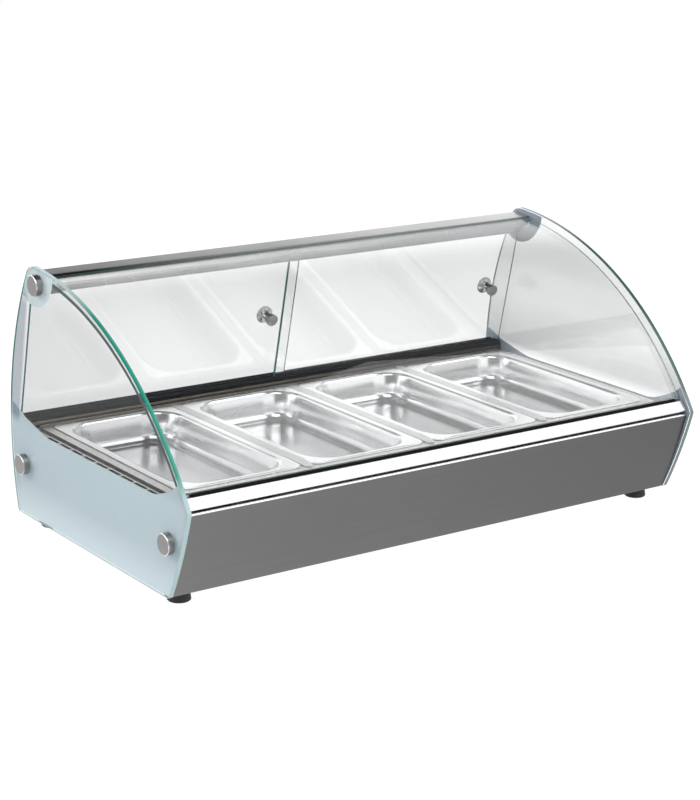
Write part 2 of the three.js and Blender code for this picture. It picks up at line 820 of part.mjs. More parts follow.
function panRings() {
  const halfX = panOpeningWidth / 2;
  const halfY = panOpeningLength / 2;
  const ring = (grow, radius, z) => ({
    outline: ringOutline(halfX + grow, halfY + grow, radius, panCornerSteps),
    z
  });
  const floorRing = (turn, wall) => {
    const bend = panFloorRadius + wall;
    const grow = -panTaper - panFloorRadius + bend * Math.sin(turn);
    return ring(grow, panOpeningRadius + grow, panFloor + panWall + panFloorRadius - bend * Math.cos(turn));
  };
  const turns = [0, Math.PI / 6, Math.PI / 3, Math.PI / 2];
  const rimRing = (z) => ({
    outline: ringOutline(panRimWidth / 2, panRimLength / 2, panRimCornerRadius, panCornerSteps),
    z
  });
  return [
    ...turns.map((turn) => floorRing(turn, panWall)),
    ring(panWall, panOpeningRadius + panWall, rimTop - panWall),
    rimRing(rimTop - panWall),
    rimRing(rimTop),
    ring(2 * panWall, panOpeningRadius + 2 * panWall, rimTop),
    ring(0, panOpeningRadius, rimTop - 2 * panWall),
    ...turns.map((turn) => floorRing(turn, 0)).reverse()
  ];
}

function panCentre(i) {
  return (i - (panCount - 1) / 2) * panPitch;
}

function addPans() {
  for (let i = 0; i < panCount; i += 1) {
    const pan = loft(panRings()).translate(panCentre(i), panRowCentre, 0);
    addPart(`food_pan_${i + 1}`, pan, brightSteel);
  }
}

// Well tray: the tank under the pans that the elements heat
const wellFloor = panFloor - wellFloorDrop;
const wellBottom = wellFloor - sheetThickness;

function addWell() {
  const top = plateauHeight - sheetThickness - fitGap;
  const outerX = wellHalfX + sheetThickness;
  const outerY = wellHalfY + sheetThickness;
  const shell = block(-outerX, outerX, panRowCentre - outerY, panRowCentre + outerY, wellBottom, top);
  const room = block(
    -wellHalfX, wellHalfX, panRowCentre - wellHalfY, panRowCentre + wellHalfY, wellFloor, top + overrun
  );
  addPart('well_tray', cut(shell, room), satinSteel);
}

// Divider bars: a rib that lies on the plateau, a flange level with it and a stiffening web
function addDividerBars() {
  const ribLow = plateauHeight + fitGap;
  const ribTop = ribLow + barRibRise;
  const ribHalf = panRimLength / 2 + barOverhang;
  const flangeLow = plateauHeight - sheetThickness;
  const flangeHalf = wellHalfY - fitGap;
  const rib = prismZ(slotOutline(ribHalf, barRibWidth / 2, true), ribLow, ribTop);
  const core = block(
    -barRibWidth / 2, barRibWidth / 2, -flangeHalf, flangeHalf, flangeLow, ribLow + barRibRise / 2
  );
  const flange = block(
    -barFlangeWidth / 2, barFlangeWidth / 2, -flangeHalf, flangeHalf, flangeLow, plateauHeight
  );
  const web = block(
    -barWebThickness / 2, barWebThickness / 2, -flangeHalf, flangeHalf, flangeLow - barWebDepth, plateauHeight
  );
  for (let i = 0; i + 1 < panCount; i += 1) {
    const x = (panCentre(i) + panCentre(i + 1)) / 2;
    addPart(`divider_bar_${i + 1}`, join(rib, core, flange, web).translate(x, panRowCentre, 0), satinSteel);
  }
}

// A pipe of many sides along a level line of points, mitred where the line turns
function pipe(line, radius) {
  const positions = [];
  const indices = [];
  line.forEach((middle, i) => {
    const before = line[Math.max(i - 1, 0)];
    const after = line[Math.min(i + 1, line.length - 1)];
    const across = after.clone().sub(before).normalize();
    for (let k = 0; k < tinySides; k += 1) {
      const angle = (2 * Math.PI * (k + 0.5)) / tinySides;
      const side = radius * Math.cos(angle);
      positions.push(middle.x - side * across.y, middle.y + side * across.x, radius * Math.sin(angle));
    }
  });
  for (let i = 0; i + 1 < line.length; i += 1) {
    for (let k = 0; k < tinySides; k += 1) {
      const next = (k + 1) % tinySides;
      const low = i * tinySides;
      const high = low + tinySides;
      indices.push(low + k, low + next, high + next, low + k, high + next, high + k);
    }
  }
  const last = (line.length - 1) * tinySides;
  for (let k = 1; k + 1 < tinySides; k += 1) {
    indices.push(0, k + 1, k, last, last + k, last + k + 1);
  }
  const geometry = new THREE.BufferGeometry();
  geometry.setAttribute('position', new THREE.Float32BufferAttribute(positions, 3));
  geometry.setIndex(indices);
  return geometry;
}

// Each element is a hairpin: out along one side, round a half turn and back
const elementCentre = wellBottom - fitGap - elementRadius;

function addHeating() {
  const bend = elementSpacing / 2;
  const near = wellHalfX - elementEndGap;
  const turnCentre = new THREE.Vector2(-near + bend, 0);
  const line = [new THREE.Vector2(near, bend)];
  for (let i = 0; i <= elementBendSteps; i += 1) {
    const angle = Math.PI * (0.5 + i / elementBendSteps);
    line.push(new THREE.Vector2(bend * Math.cos(angle), bend * Math.sin(angle)).add(turnCentre));
  }
  line.push(new THREE.Vector2(near, -bend));
  [['front', -1], ['rear', 1]].forEach(([name, sign]) => {
    const tube = pipe(line, elementRadius);
    tube.translate(0, panRowCentre + sign * elementRowOffset, elementCentre);
    addPart(`${name}_heating_element`, tube, elementSteel);
  });
}

// Hat brackets hold the elements up against the floor of the well
const bracketLow = elementCentre - elementRadius - fitGap;

function addHeaterBrackets() {
  const reach = elementRowOffset + elementSpacing / 2 + elementRadius + bracketMargin;
  const seat = wellBottom - fitGap;
  const line = [
    point(-reach - bracketFoot, seat - sheetThickness),
    point(-reach, seat - sheetThickness),
    point(-reach, bracketLow - sheetThickness),
    point(reach, bracketLow - sheetThickness),
    point(reach, seat - sheetThickness),
    point(reach + bracketFoot, seat - sheetThickness)
  ];
  sides.forEach(([name, sign]) => {
    const middle = sign * (wellHalfX - bracketFromEnd);
    const hat = prismX(bentSheet(line, sheetThickness), middle - bracketWidth / 2, middle + bracketWidth / 2);
    addPart(`${name}_heater_bracket`, hat.translate(0, panRowCentre, 0), zincSheet);
  });
}

function addInsulation() {
  const low = panelBottomHeight + sheetThickness + fitGap;
  const high = bracketLow - sheetThickness - fitGap;
  const halfX = wellHalfX - insulationMargin;
  const halfY = wellHalfY - insulationMargin;
  addPart(
    'insulation_mat',
    block(-halfX, halfX, panRowCentre - halfY, panRowCentre + halfY, low, high),
    mineralWool
  );
}

// Door sill: a folded channel that stands on the deck and reaches over the rear panel
function addSill() {
  const half = panelInner - sillSideGap - bodySideClearance;
  const line = [
    point(sillBack, sillTopHeight - sillBackDrop),
    point(sillBack, sillTopHeight),
    point(sillFront, sillTopHeight),
    point(sillFront, deckHeight + fitGap)
  ];
  addPart('door_sill', prismX(bentSheet(line, sheetThickness), -half, half), satinSteel);
}

// The doors lean from their track to the middle of the end panel's top round
const trackFront = sillFront + trackSetback;
const trackBottom = sillTopHeight + fitGap;
const doorFoot = point(trackFront + trackFrontGrooveOffset, trackBottom + trackFloor + fitGap);
const doorLean = Math.atan2(doorFoot.x - topRound.centre.x, topRound.centre.y - doorFoot.y);
const railMouth = point(
  topRound.centre.x - railMouthFront,
  topRound.centre.y - railMouthDrop
);
const doorLength = (railMouth.y + doorInsertion - doorFoot.y) / Math.cos(doorLean);
const doorWidth = panelInner - doorSideGap + doorOverlap / 2;

// A frame that leans with one door: local Z runs up the leaf and local Y points out at the back
function doorFrame(track) {
  const frame = new THREE.Group();
  frame.position.set(0, doorFoot.x + track * doorPitch, doorFoot.y);
  frame.rotation.x = doorLean;
  frame.updateMatrix();
  return frame;
}

// The slab that a door and its running clearance fill, from below the track floor to above the leaf
function doorRoom(track, half, low, high) {
  const thick = doorThickness / 2 + doorRunGap;
  return block(-half, half, -thick, thick, low, high).applyMatrix4(doorFrame(track).matrix);
}

function addTrack() {
  const half = panelInner - trackSideGap;
  const body = block(-half, half, trackFront, trackFront + trackWidth, trackBottom, trackBottom + trackHeight);
  const grooves = [0, 1].map((track) => doorRoom(track, half + overrun, -fitGap, overrun));
  const middle = doorFoot.x + doorPitch / 2;
  const slot = block(
    -half - overrun, half + overrun, middle - trackMiddleSlotWidth / 2, middle + trackMiddleSlotWidth / 2,
    trackBottom + trackHeight - trackMiddleSlotDepth, trackBottom + trackHeight + overrun
  );
  addPart('door_track', cut(body, ...grooves, slot), blackPlastic);
}

function addRail() {
  const top = inset(upperFront, railTopInset);
  const back = inset(backCircle, railBackInset);
  const seat = inset(glassInner, fitGap);
  const underLip = inset(seat, railLipThickness);
  const crest = circlesMeet(top, back, -1);
  const backLow = atHeight(back, topRound.centre.y - railBackDrop, 1);
  const lipFront = railFront - railLipReach;
  const bend = atDepth(underLip, topRound.centre.x - railBendBehindRound);
  const topArc = arc(top, crest, atDepth(top, railFront));
  const backArc = arc(back, backLow, crest);
  const shelf = arc(seat, atDepth(seat, railFront), atDepth(seat, lipFront));
  const lip = arc(underLip, bend, atDepth(underLip, lipFront)).reverse();
  const corners = [
    ...backArc.slice(0, -1).map((p) => [p, 0]),
    [crest, railCornerRadius],
    ...topArc.slice(1).map((p) => [p, 0]),
    ...shelf.map((p) => [p, 0]),
    ...lip.map((p) => [p, 0]),
    [railMouth, 0]
  ];
  const chamberMiddle = point(topRound.centre.x + railChamberLength / 2, topRound.centre.y + railChamberRise);
  const chamber = slotOutline(railChamberLength / 2 + railChamberRadius, railChamberRadius, false)
    .map((p) => p.add(chamberMiddle));
  const tools = [0, 1].map((track) => {
    return doorRoom(track, bodyHalf + overrun, doorLength - doorInsertion - railBackDrop, doorLength + doorLiftRoom);
  });
  sides.forEach(([, sign]) => {
    const [x0, x1] = slab(sign, bodyHalf - studReach - 2 * fitGap, bodyHalf + overrun);
    tools.push(rodAlongX(studHoleRadius, boltPlaces.top, x0, x1, smallSides));
  });
  const section = prismX(rounded(corners), -bodyHalf, bodyHalf, [chamber]);
  const screwPort = rodAlongX(railPortRadius, boltPlaces.top, -bodyHalf, bodyHalf, fineSides);
  addPart('top_rail', cut(join(section, screwPort), ...tools), railAluminium);
}

// Knob outside the leaf with its stud, and the cap that closes it inside
function knobBody() {
  const face = doorThickness / 2;
  const disc = face + knobLength;
  const profile = [
    [0, -face - fitGap - knobStudEntry],
    [knobStudRadius, -face - fitGap - knobStudEntry],
    [knobStudRadius, face + fitGap],
    [knobFootRadius, face + fitGap],
    [knobFootRadius, face + knobLength * 0.1],
    [knobNeckRadius, face + knobLength * 0.3],
    [knobNeckRadius + (knobDiscRadius - knobNeckRadius) * 0.15, face + knobLength * 0.5],
    [knobNeckRadius + (knobDiscRadius - knobNeckRadius) * 0.45, face + knobLength * 0.68],
    [knobDiscRadius, disc - knobRimThickness],
    [knobDiscRadius, disc - knobRimThickness / 2],
    [knobDiscRadius - knobRimThickness / 2, disc],
    [0, disc]
  ];
  return towardsBack(turned(profile, fineSides));
}

function knobCapBody() {
  const face = -doorThickness / 2 - fitGap;
  const end = face - knobCapThickness;
  const bore = face - knobStudEntry - fitGap;
  const profile = [
    [0, end],
    [knobCapRadius - knobCapChamfer, end],
    [knobCapRadius, end + knobCapChamfer],
    [knobCapRadius, face],
    [knobStudRadius + fitGap, face],
    [knobStudRadius + fitGap, bore],
    [0, bore]
  ];
  return towardsBack(turned(profile, smallSides));
}

function addDoors() {
  const half = panelInner - doorSideGap;
  const localKnobHeight = (caseHeight - knobBelowTop - doorFoot.y) / Math.cos(doorLean);
  const leaves = [
    { name: 'left', track: 1, x0: -half, x1: -half + doorWidth, knobX: doorOverlap / 2 - leftKnobFromMeeting },
    { name: 'right', track: 0, x0: half - doorWidth, x1: half, knobX: half - rightKnobFromEnd }
  ];
  leaves.forEach(({ name, track, x0, x1, knobX }) => {
    const frame = doorFrame(track);
    model.add(frame);
    const leaf = block(x0, x1, -doorThickness / 2, doorThickness / 2, 0, doorLength);
    const hole = towardsBack(rod(doorHoleRadius, -doorThickness, doorThickness, smallSides));
    addPart(`${name}_door`, cut(leaf, hole.translate(knobX, 0, localKnobHeight)), clearGlass, frame);
    const knob = addPart(`${name}_door_knob`, knobBody(), chrome, frame);
    knob.position.set(knobX, 0, localKnobHeight);
    const cap = addPart(`${name}_knob_cap`, knobCapBody(), chrome, frame);
    cap.position.set(knobX, 0, localKnobHeight);
  });
}

// Operator controls: places on the rear panel, measured from the left end
const controlX = (fromEnd) => -halfLength + fromEnd;
const thermostatX = controlX(thermostatFromEnd);
const lampX = controlX(lampFromEnd);
const switchX = controlX(switchFromEnd);
const glandX = controlX(glandFromEnd);

function addRearPanel() {
  const low = panelBottomHeight;
  const high = deckHeight;
  const sheet = block(-bodyHalf, bodyHalf, rearInner, rearOuter, low, high);
  const through = (radius, x, z) => {
    return towardsBack(rod(radius, rearInner - overrun, rearOuter + overrun, smallSides)).translate(x, 0, z);
  };
  const tools = [
    through(thermostatNeckRadius + fitGap, thermostatX, controlHeight),
    through(lampBodyRadius + fitGap, lampX, controlHeight),
    through(glandThreadRadius + fitGap, glandX, glandHeight),
    block(
      switchX - switchWidth / 2 - fitGap, switchX + switchWidth / 2 + fitGap,
      rearInner - overrun, rearOuter + overrun,
      controlHeight - switchHeight / 2 - fitGap, controlHeight + switchHeight / 2 + fitGap
    )
  ];
  for (let i = 0; i < rearVentCount; i += 1) {
    const x = rearVentFromCentre + i * rearVentPitch;
    const outline = slotOutline(rearVentLength / 2, rearVentWidth / 2, true);
    const vent = prismZ(outline, rearInner - overrun, rearOuter + overrun).rotateX(-Math.PI / 2);
    tools.push(vent.translate(x, 0, controlHeight));
  }
  addPart('rear_panel', cut(sheet, ...tools), brushedSteel);
}

function addThermostat() {
  const housingBack = rearInner - fitGap;
  const neckEnd = rearOuter + fitGap;
  const half = thermostatSize / 2;
  const housing = block(-half, half, housingBack - thermostatDepth, housingBack, -half, half);
  const neck = towardsBack(rod(thermostatNeckRadius, housingBack - overrun, neckEnd, smallSides));
  const bore = towardsBack(rod(shaftRadius + fitGap, housingBack - shaftEntry, neckEnd + overrun, smallSides));
  const body = cut(join(housing, neck), bore).translate(thermostatX, 0, controlHeight);
  addPart('thermostat_body', body, blackPlastic);

  const dialBase = neckEnd + fitGap;
  const dialEnd = dialBase + dialLength;
  const shaftLow = housingBack - shaftEntry + fitGap;
  const shaftHigh = dialEnd - dialLength / 3;
  const shaft = towardsBack(rod(shaftRadius, shaftLow, shaftHigh, smallSides));
  addPart('thermostat_shaft', shaft.translate(thermostatX, 0, controlHeight), satinSteel);

  const profile = [
    [0, dialBase],
    [dialSkirtRadius, dialBase],
    [dialSkirtRadius, dialBase + dialSkirtThickness],
    [dialRadius, dialBase + 2 * dialSkirtThickness],
    [dialRadius - dialSkirtThickness, dialEnd - dialSkirtThickness],
    [dialRadius - 2 * dialSkirtThickness, dialEnd],
    [0, dialEnd]
  ];
  const grips = [];
  for (let i = 0; i < dialGrips; i += 1) {
    const angle = (2 * Math.PI * i) / dialGrips;
    const groove = towardsBack(rod(dialGripRadius, dialBase + 2 * dialSkirtThickness, dialEnd + overrun, tinySides));
    grips.push(groove.translate(dialRadius * Math.sin(angle), 0, dialRadius * Math.cos(angle)));
  }
  const socket = towardsBack(rod(shaftRadius + fitGap, dialBase - overrun, shaftHigh + fitGap, smallSides));
  const dial = cut(towardsBack(turned(profile, fineSides)), socket, ...grips);
  addPart('thermostat_knob', dial.translate(thermostatX, 0, controlHeight), blackPlastic);
}

// Switch: a housing with a bezel in the panel, and a rocker on two pins between its side walls
function addSwitch() {
  const halfX = switchWidth / 2;
  const halfZ = switchHeight / 2;
  const bezelLow = rearOuter + fitGap;
  const bezelHigh = bezelLow + switchLip;
  const back = bezelHigh - switchDepth;
  const pivot = bezelHigh - rockerThickness / 2;
  const body = block(-halfX, halfX, back, bezelHigh, -halfZ, halfZ);
  const bezel = block(
    -halfX - switchLip, halfX + switchLip, bezelLow, bezelHigh, -halfZ - switchLip, halfZ + switchLip
  );
  const room = block(
    -halfX + switchWall, halfX - switchWall, back + switchWall, bezelHigh + overrun,
    -halfZ + switchWall, halfZ - switchWall
  );
  const pinHole = rodAlongX(
    rockerPinRadius + fitGap, point(pivot, 0),
    -halfX + switchWall - rockerPinLength - fitGap, halfX - switchWall + rockerPinLength + fitGap, smallSides
  );
  const housing = cut(join(body, bezel), room, pinHole).translate(switchX, 0, controlHeight);
  addPart('switch_housing', housing, blackPlastic);

  const rockerHalfX = halfX - switchWall - rockerClearance;
  const rockerHalfZ = halfZ - switchWall - 2 * rockerClearance;
  const crown = rockerThickness / 2 + switchLip;
  const outline = [
    point(-rockerThickness / 2, -rockerHalfZ + rockerThickness / 2),
    point(-rockerThickness / 2, rockerHalfZ - rockerThickness / 2),
    point(rockerThickness / 2, rockerHalfZ),
    point(crown, rockerHalfZ),
    point(rockerThickness / 2 + switchLip / 2, 0),
    point(crown, -rockerHalfZ),
    point(rockerThickness / 2, -rockerHalfZ)
  ];
  const plate = prismX(outline.reverse(), -rockerHalfX, rockerHalfX);
  const pinReach = halfX - switchWall + rockerPinLength;
  const pins = rodAlongX(rockerPinRadius, point(0, 0), -pinReach, pinReach, smallSides);
  const rocker = addPart('switch_rocker', join(plate, pins), blackPlastic);
  rocker.position.set(switchX, pivot, controlHeight);
  rocker.rotation.x = -rockerTilt;
}

function addLampAndGland() {
  const lamp = [
    [0, rearInner - lampBodyLength],
    [lampBodyRadius, rearInner - lampBodyLength],
    [lampBodyRadius, rearOuter + fitGap],
    [lampRadius, rearOuter + fitGap],
    [lampRadius, rearOuter + lampRadius / 3],
    [lampRadius * Math.cos(Math.PI / 6), rearOuter + lampRadius * 0.6],
    [lampRadius * Math.cos(Math.PI / 3), rearOuter + lampRadius * 0.8],
    [0, rearOuter + lampRadius * 0.87]
  ];
  addPart('pilot_lamp', towardsBack(turned(lamp, smallSides)).translate(lampX, 0, controlHeight), lampRed);

  const outside = rearOuter + fitGap;
  const inside = rearInner - glandInside;
  const gland = [
    [glandBoreRadius, inside],
    [glandThreadRadius, inside],
    [glandThreadRadius, outside],
    [glandRadius, outside],
    [glandRadius, outside + glandFlange],
    [glandThreadRadius, outside + 2 * glandFlange],
    [glandBoreRadius + fitGap, outside + glandLength],
    [glandBoreRadius, outside + glandLength],
    [glandBoreRadius, inside]
  ];
  addPart('cable_gland', towardsBack(turned(gland, smallSides)).translate(glandX, 0, glandHeight), blackPlastic);
}

function addTerminalBlock() {
  const low = panelBottomHeight + sheetThickness + fitGap;
  const back = rearInner - baseVentFromBack - baseVentWidth - fitGap;
  const body = block(-terminalLength / 2, terminalLength / 2, back - terminalDepth, back, low, low + terminalHeight);
  const ports = [];
  for (let i = 0; i < terminalPorts; i += 1) {
    const x = ((i + 0.5) / terminalPorts - 0.5) * terminalLength;
    const port = towardsBack(rod(terminalPortRadius, back - terminalDepth / 3, back + overrun, tinySides));
    ports.push(port.translate(x, 0, low + terminalHeight / 2));
  }
  addPart('terminal_block', cut(body, ...ports).translate(-terminalFromCentre, 0, 0), ceramicWhite);
}

addBaseTray();
addFeet();
addSidePlates();
addFrontPanel();
addFrontBand();
addRearPanel();
addDeck();
addWell();
addInsulation();
addHeating();
addHeaterBrackets();
addDividerBars();
addPans();
addSill();
addTrack();
addRail();
addFrontGlass();
addGasket();
addEndPanels();
addPanelBolts();
addDoors();
addThermostat();
addSwitch();
addLampAndGland();
addTerminalBlock();

export default model;
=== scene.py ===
# %% [markdown]
# # A heated counter-top display case
#
# This lesson dresses a finished engineering model of a heated display case: a curved
# front glass between two clear end panels, two sliding doors at the back and four food
# pans in a warm well. The engineering model gives every size. Here each piece gets its
# finish, and a few pieces get a finer mesh.
#
# The frame comes first. It brings in the solids, in metres, with X along the case, the
# customer's side towards -Y and Z up.

# %% Load the frame
import math

import bmesh
import bpy
from mathutils import Matrix, Vector


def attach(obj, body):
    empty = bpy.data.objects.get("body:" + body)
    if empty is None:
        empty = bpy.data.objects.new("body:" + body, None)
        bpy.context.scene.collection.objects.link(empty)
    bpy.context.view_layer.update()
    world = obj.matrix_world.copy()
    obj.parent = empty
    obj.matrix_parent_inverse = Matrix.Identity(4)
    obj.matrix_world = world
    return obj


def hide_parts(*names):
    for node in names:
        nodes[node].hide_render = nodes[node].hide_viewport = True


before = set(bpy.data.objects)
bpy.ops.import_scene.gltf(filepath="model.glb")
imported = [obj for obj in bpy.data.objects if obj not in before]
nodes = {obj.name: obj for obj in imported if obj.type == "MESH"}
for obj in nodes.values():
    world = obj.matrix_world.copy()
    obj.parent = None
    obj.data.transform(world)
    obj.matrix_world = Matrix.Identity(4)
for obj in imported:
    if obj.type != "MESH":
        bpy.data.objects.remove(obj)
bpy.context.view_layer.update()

scene = bpy.context.scene

# %% [markdown]
# ## The camera
#
# The photograph was taken with a long lens, from the left and a little above. Three
# angles say how the camera is turned: the yaw round Z, the tilt down and a small roll.
# They could go into an Euler rotation, but building the rotation from its three axes
# avoids any doubt about the order of the turns.

# %% Place the camera
CAMERA_PLACE = Vector((-1.5994, -2.2133, 0.9272))
YAW, TILT, ROLL = (math.radians(a) for a in (35.6086, 15.7176, -0.9482))
SENSOR_WIDTH = 36.0
FOCAL_PIXELS, PICTURE_HEIGHT = 2105.99, 800
CLIP_END = 30.0

look = Vector((math.cos(TILT) * math.sin(YAW), math.cos(TILT) * math.cos(YAW), -math.sin(TILT)))
level = Vector((math.cos(YAW), -math.sin(YAW), 0.0))
fall = look.cross(level)
side_axis = math.cos(ROLL) * level + math.sin(ROLL) * fall
down_axis = -math.sin(ROLL) * level + math.cos(ROLL) * fall

camera_data = bpy.data.cameras.new("studio_camera")
camera = bpy.data.objects.new("studio_camera", camera_data)
scene.collection.objects.link(camera)
camera_data.sensor_width = SENSOR_WIDTH
camera_data.lens = SENSOR_WIDTH * FOCAL_PIXELS / PICTURE_HEIGHT
camera_data.clip_end = CLIP_END
facing = Matrix((side_axis, -down_axis, -look)).transposed()
camera.matrix_world = Matrix.Translation(CAMERA_PLACE) @ facing.to_4x4()
scene.camera = camera
scene.view_settings.view_transform = "Standard"
print("lens:", round(camera_data.lens, 2), "mm")

# %% [markdown]
# ## Small helpers for shader graphs
#
# A shader graph is easier to read when each node takes one short line. The first helper
# adds a node, links whatever is a socket and sets whatever is a plain value. The others
# stand for the nodes that nearly every graph here uses.


# %% Shader helpers
def add_node(tree, kind, inputs=None, **settings):
    node = tree.nodes.new(kind)
    for name, value in settings.items():
        setattr(node, name, value)
    for name, value in (inputs or {}).items():
        if isinstance(value, bpy.types.NodeSocket):
            tree.links.new(value, node.inputs[name])
        else:
            node.inputs[name].default_value = value
    return node


def math_node(tree, operation, first, second=0.0, third=0.0, clamp=False):
    inputs = {0: first, 1: second, 2: third}
    node = add_node(tree, "ShaderNodeMath", inputs, operation=operation, use_clamp=clamp)
    return node.outputs[0]


def between(tree, value, start, stop, low=0.0, high=1.0, easing="LINEAR"):
    """Carry a value that runs from start to stop over to a range from low to high."""
    inputs = {"Value": value, "From Min": start, "From Max": stop, "To Min": low, "To Max": high}
    return add_node(tree, "ShaderNodeMapRange", inputs, interpolation_type=easing).outputs[0]


def projected(tree, vector, axis):
    inputs = {0: vector, 1: axis}
    node = add_node(tree, "ShaderNodeVectorMath", inputs, operation="DOT_PRODUCT")
    return node.outputs["Value"]


def object_place(tree):
    return add_node(tree, "ShaderNodeTexCoord").outputs["Object"]


def noise(tree, place, scale, detail=2.0, more=None):
    inputs = {"Vector": place, "Scale": scale, "Detail": detail, **(more or {})}
    return add_node(tree, "ShaderNodeTexNoise", inputs).outputs[0]


print("node helpers ready")

# %% [markdown]
# Colours are mixed by one more helper, and every material starts empty and ends in its
# output node. A node group says in one call what goes in and what comes out.


# %% Colour, material and group helpers
def opaque(colour):
    return tuple(colour) + (1.0,)


def mix_colours(tree, share, first, second):
    node = add_node(tree, "ShaderNodeMix", data_type="RGBA")
    for name, value in (("Factor", share), ("A", first), ("B", second)):
        socket = next(s for s in node.inputs if s.name == name and s.enabled)
        if isinstance(value, bpy.types.NodeSocket):
            tree.links.new(value, socket)
        else:
            socket.default_value = value
    return next(s for s in node.outputs if s.enabled)


def blank_material(name):
    material = bpy.data.materials.new(name)
    material.use_nodes = True
    material.node_tree.nodes.clear()
    return material


def end_with(tree, shader):
    add_node(tree, "ShaderNodeOutputMaterial", {"Surface": shader.outputs[0]})


def group_with(name, inputs, outputs):
    tree = bpy.data.node_groups.new(name, "ShaderNodeTree")
    for label, kind, value in inputs:
        tree.interface.new_socket(label, in_out="INPUT", socket_type=kind).default_value = value
    for label in outputs:
        tree.interface.new_socket(label, in_out="OUTPUT", socket_type=FLOAT)
    return tree, tree.nodes.new("NodeGroupInput").outputs, tree.nodes.new("NodeGroupOutput").inputs


FLOAT, VECTOR = "NodeSocketFloat", "NodeSocketVector"
print("material helpers ready")

# %% [markdown]
# ## Effects that several finishes share
#
# Brushed metal is drawn through an abrasive belt, so its grain is a noise that is
# stretched a long way along one axis. A picture of grain would repeat and would need
# unwrapping, so one group makes it from noise: the material says how far it is stretched
# along X, Y and Z. The height goes to a bump, and the tone moves the colour a little, as
# the real grain does.

# %% Brushed grain group
COARSE_SHARE, COARSE_WEIGHT = 0.13, 0.5
MEAN_NOISE = 0.5 * (1 + COARSE_WEIGHT)

grain_tree, grain_in, grain_out = group_with(
    "brushed_grain",
    [("Stretch", VECTOR, (1.0, 1.0, 1.0)), ("Fineness", FLOAT, 900.0), ("Strength", FLOAT, 0.1)],
    ["Height", "Tone"],
)
stretched = {0: object_place(grain_tree), 1: grain_in["Stretch"]}
scaled = add_node(grain_tree, "ShaderNodeVectorMath", stretched, operation="MULTIPLY").outputs[0]
fine = noise(grain_tree, scaled, grain_in["Fineness"], 3.0, {"Roughness": 0.6})
coarse_scale = math_node(grain_tree, "MULTIPLY", grain_in["Fineness"], COARSE_SHARE)
coarse = noise(grain_tree, scaled, coarse_scale)
both = math_node(grain_tree, "MULTIPLY_ADD", coarse, COARSE_WEIGHT, fine)
centred = math_node(grain_tree, "SUBTRACT", both, MEAN_NOISE)
tone = math_node(grain_tree, "MULTIPLY_ADD", centred, grain_in["Strength"], 1.0)
grain_tree.links.new(fine, grain_out["Height"])
grain_tree.links.new(tone, grain_out["Tone"])
print("group:", grain_tree.name)

# %% [markdown]
# Handled surfaces carry faint wiping marks. They show as patches that are a little
# rougher than the rest. One even roughness would look like paint, so a second group makes
# those patches from a slow noise.

# %% Wiping marks group
WIPED_LIMITS = (0.35, 0.68)

wipe_tree, wipe_in, wipe_out = group_with(
    "wiping_marks",
    [("Size", FLOAT, 9.0), ("Smooth", FLOAT, 0.2), ("Dull", FLOAT, 0.3)],
    ["Roughness"],
)
patches = noise(wipe_tree, object_place(wipe_tree), wipe_in["Size"], 4.0, {"Distortion": 0.6})
wiped_share = between(wipe_tree, patches, *WIPED_LIMITS)
rough = between(wipe_tree, wiped_share, 0.0, 1.0, wipe_in["Smooth"], wipe_in["Dull"])
wipe_tree.links.new(rough, wipe_out["Roughness"])
print("group:", wipe_tree.name)

# %% [markdown]
# Long pieces change tone from one end to the other, because each end mirrors another
# part of the room. Lamps alone can't give every piece its own change, so the third group
# turns a place on the piece into a share between two stops, along any one axis.

# %% Ramp group
ramp_tree, ramp_in, ramp_out = group_with(
    "ramp_along",
    [("Axis", VECTOR, (1.0, 0.0, 0.0)), ("Start", FLOAT, 0.0), ("Stop", FLOAT, 1.0)],
    ["Share"],
)
along = projected(ramp_tree, object_place(ramp_tree), ramp_in["Axis"])
share = between(ramp_tree, along, ramp_in["Start"], ramp_in["Stop"])
ramp_tree.links.new(share, ramp_out["Share"])
print("group:", ramp_tree.name)


def ramp(tree, axis, start, stop):
    inputs = {"Axis": axis, "Start": start, "Stop": stop}
    return add_node(tree, "ShaderNodeGroup", inputs, node_tree=ramp_tree).outputs["Share"]


# %% [markdown]
# ## Metal
#
# Every metal here is the same recipe with other values: the Principled shader with
# Metallic at one, a grain that follows the way the sheet was drawn, and wiping marks in
# the roughness. Values that don't vary are set on the shader's own sockets. Writing out
# the graph for each metal would say the same thing many times.


# %% Metal recipe
BUMP_DISTANCE = 0.0002
UPWARDS, DOWNWARDS = (0.0, 0.0, 1.0), (0.0, 0.0, -1.0)
RIGHTWARDS = (1.0, 0.0, 0.0)
ALONG_CASE = (RIGHTWARDS, -0.4, 0.4)
ALONG_X = (0.012, 1.0, 1.0)
ALONG_Y = (1.0, 0.012, 1.0)
EVEN = (1.0, 1.0, 1.0)


def wiping(tree, smooth, dull):
    inputs = {"Smooth": smooth, "Dull": dull}
    return add_node(tree, "ShaderNodeGroup", inputs, node_tree=wipe_tree).outputs["Roughness"]


def bumped(tree, strength, height):
    inputs = {"Strength": strength, "Distance": BUMP_DISTANCE, "Height": height}
    return add_node(tree, "ShaderNodeBump", inputs).outputs[0]


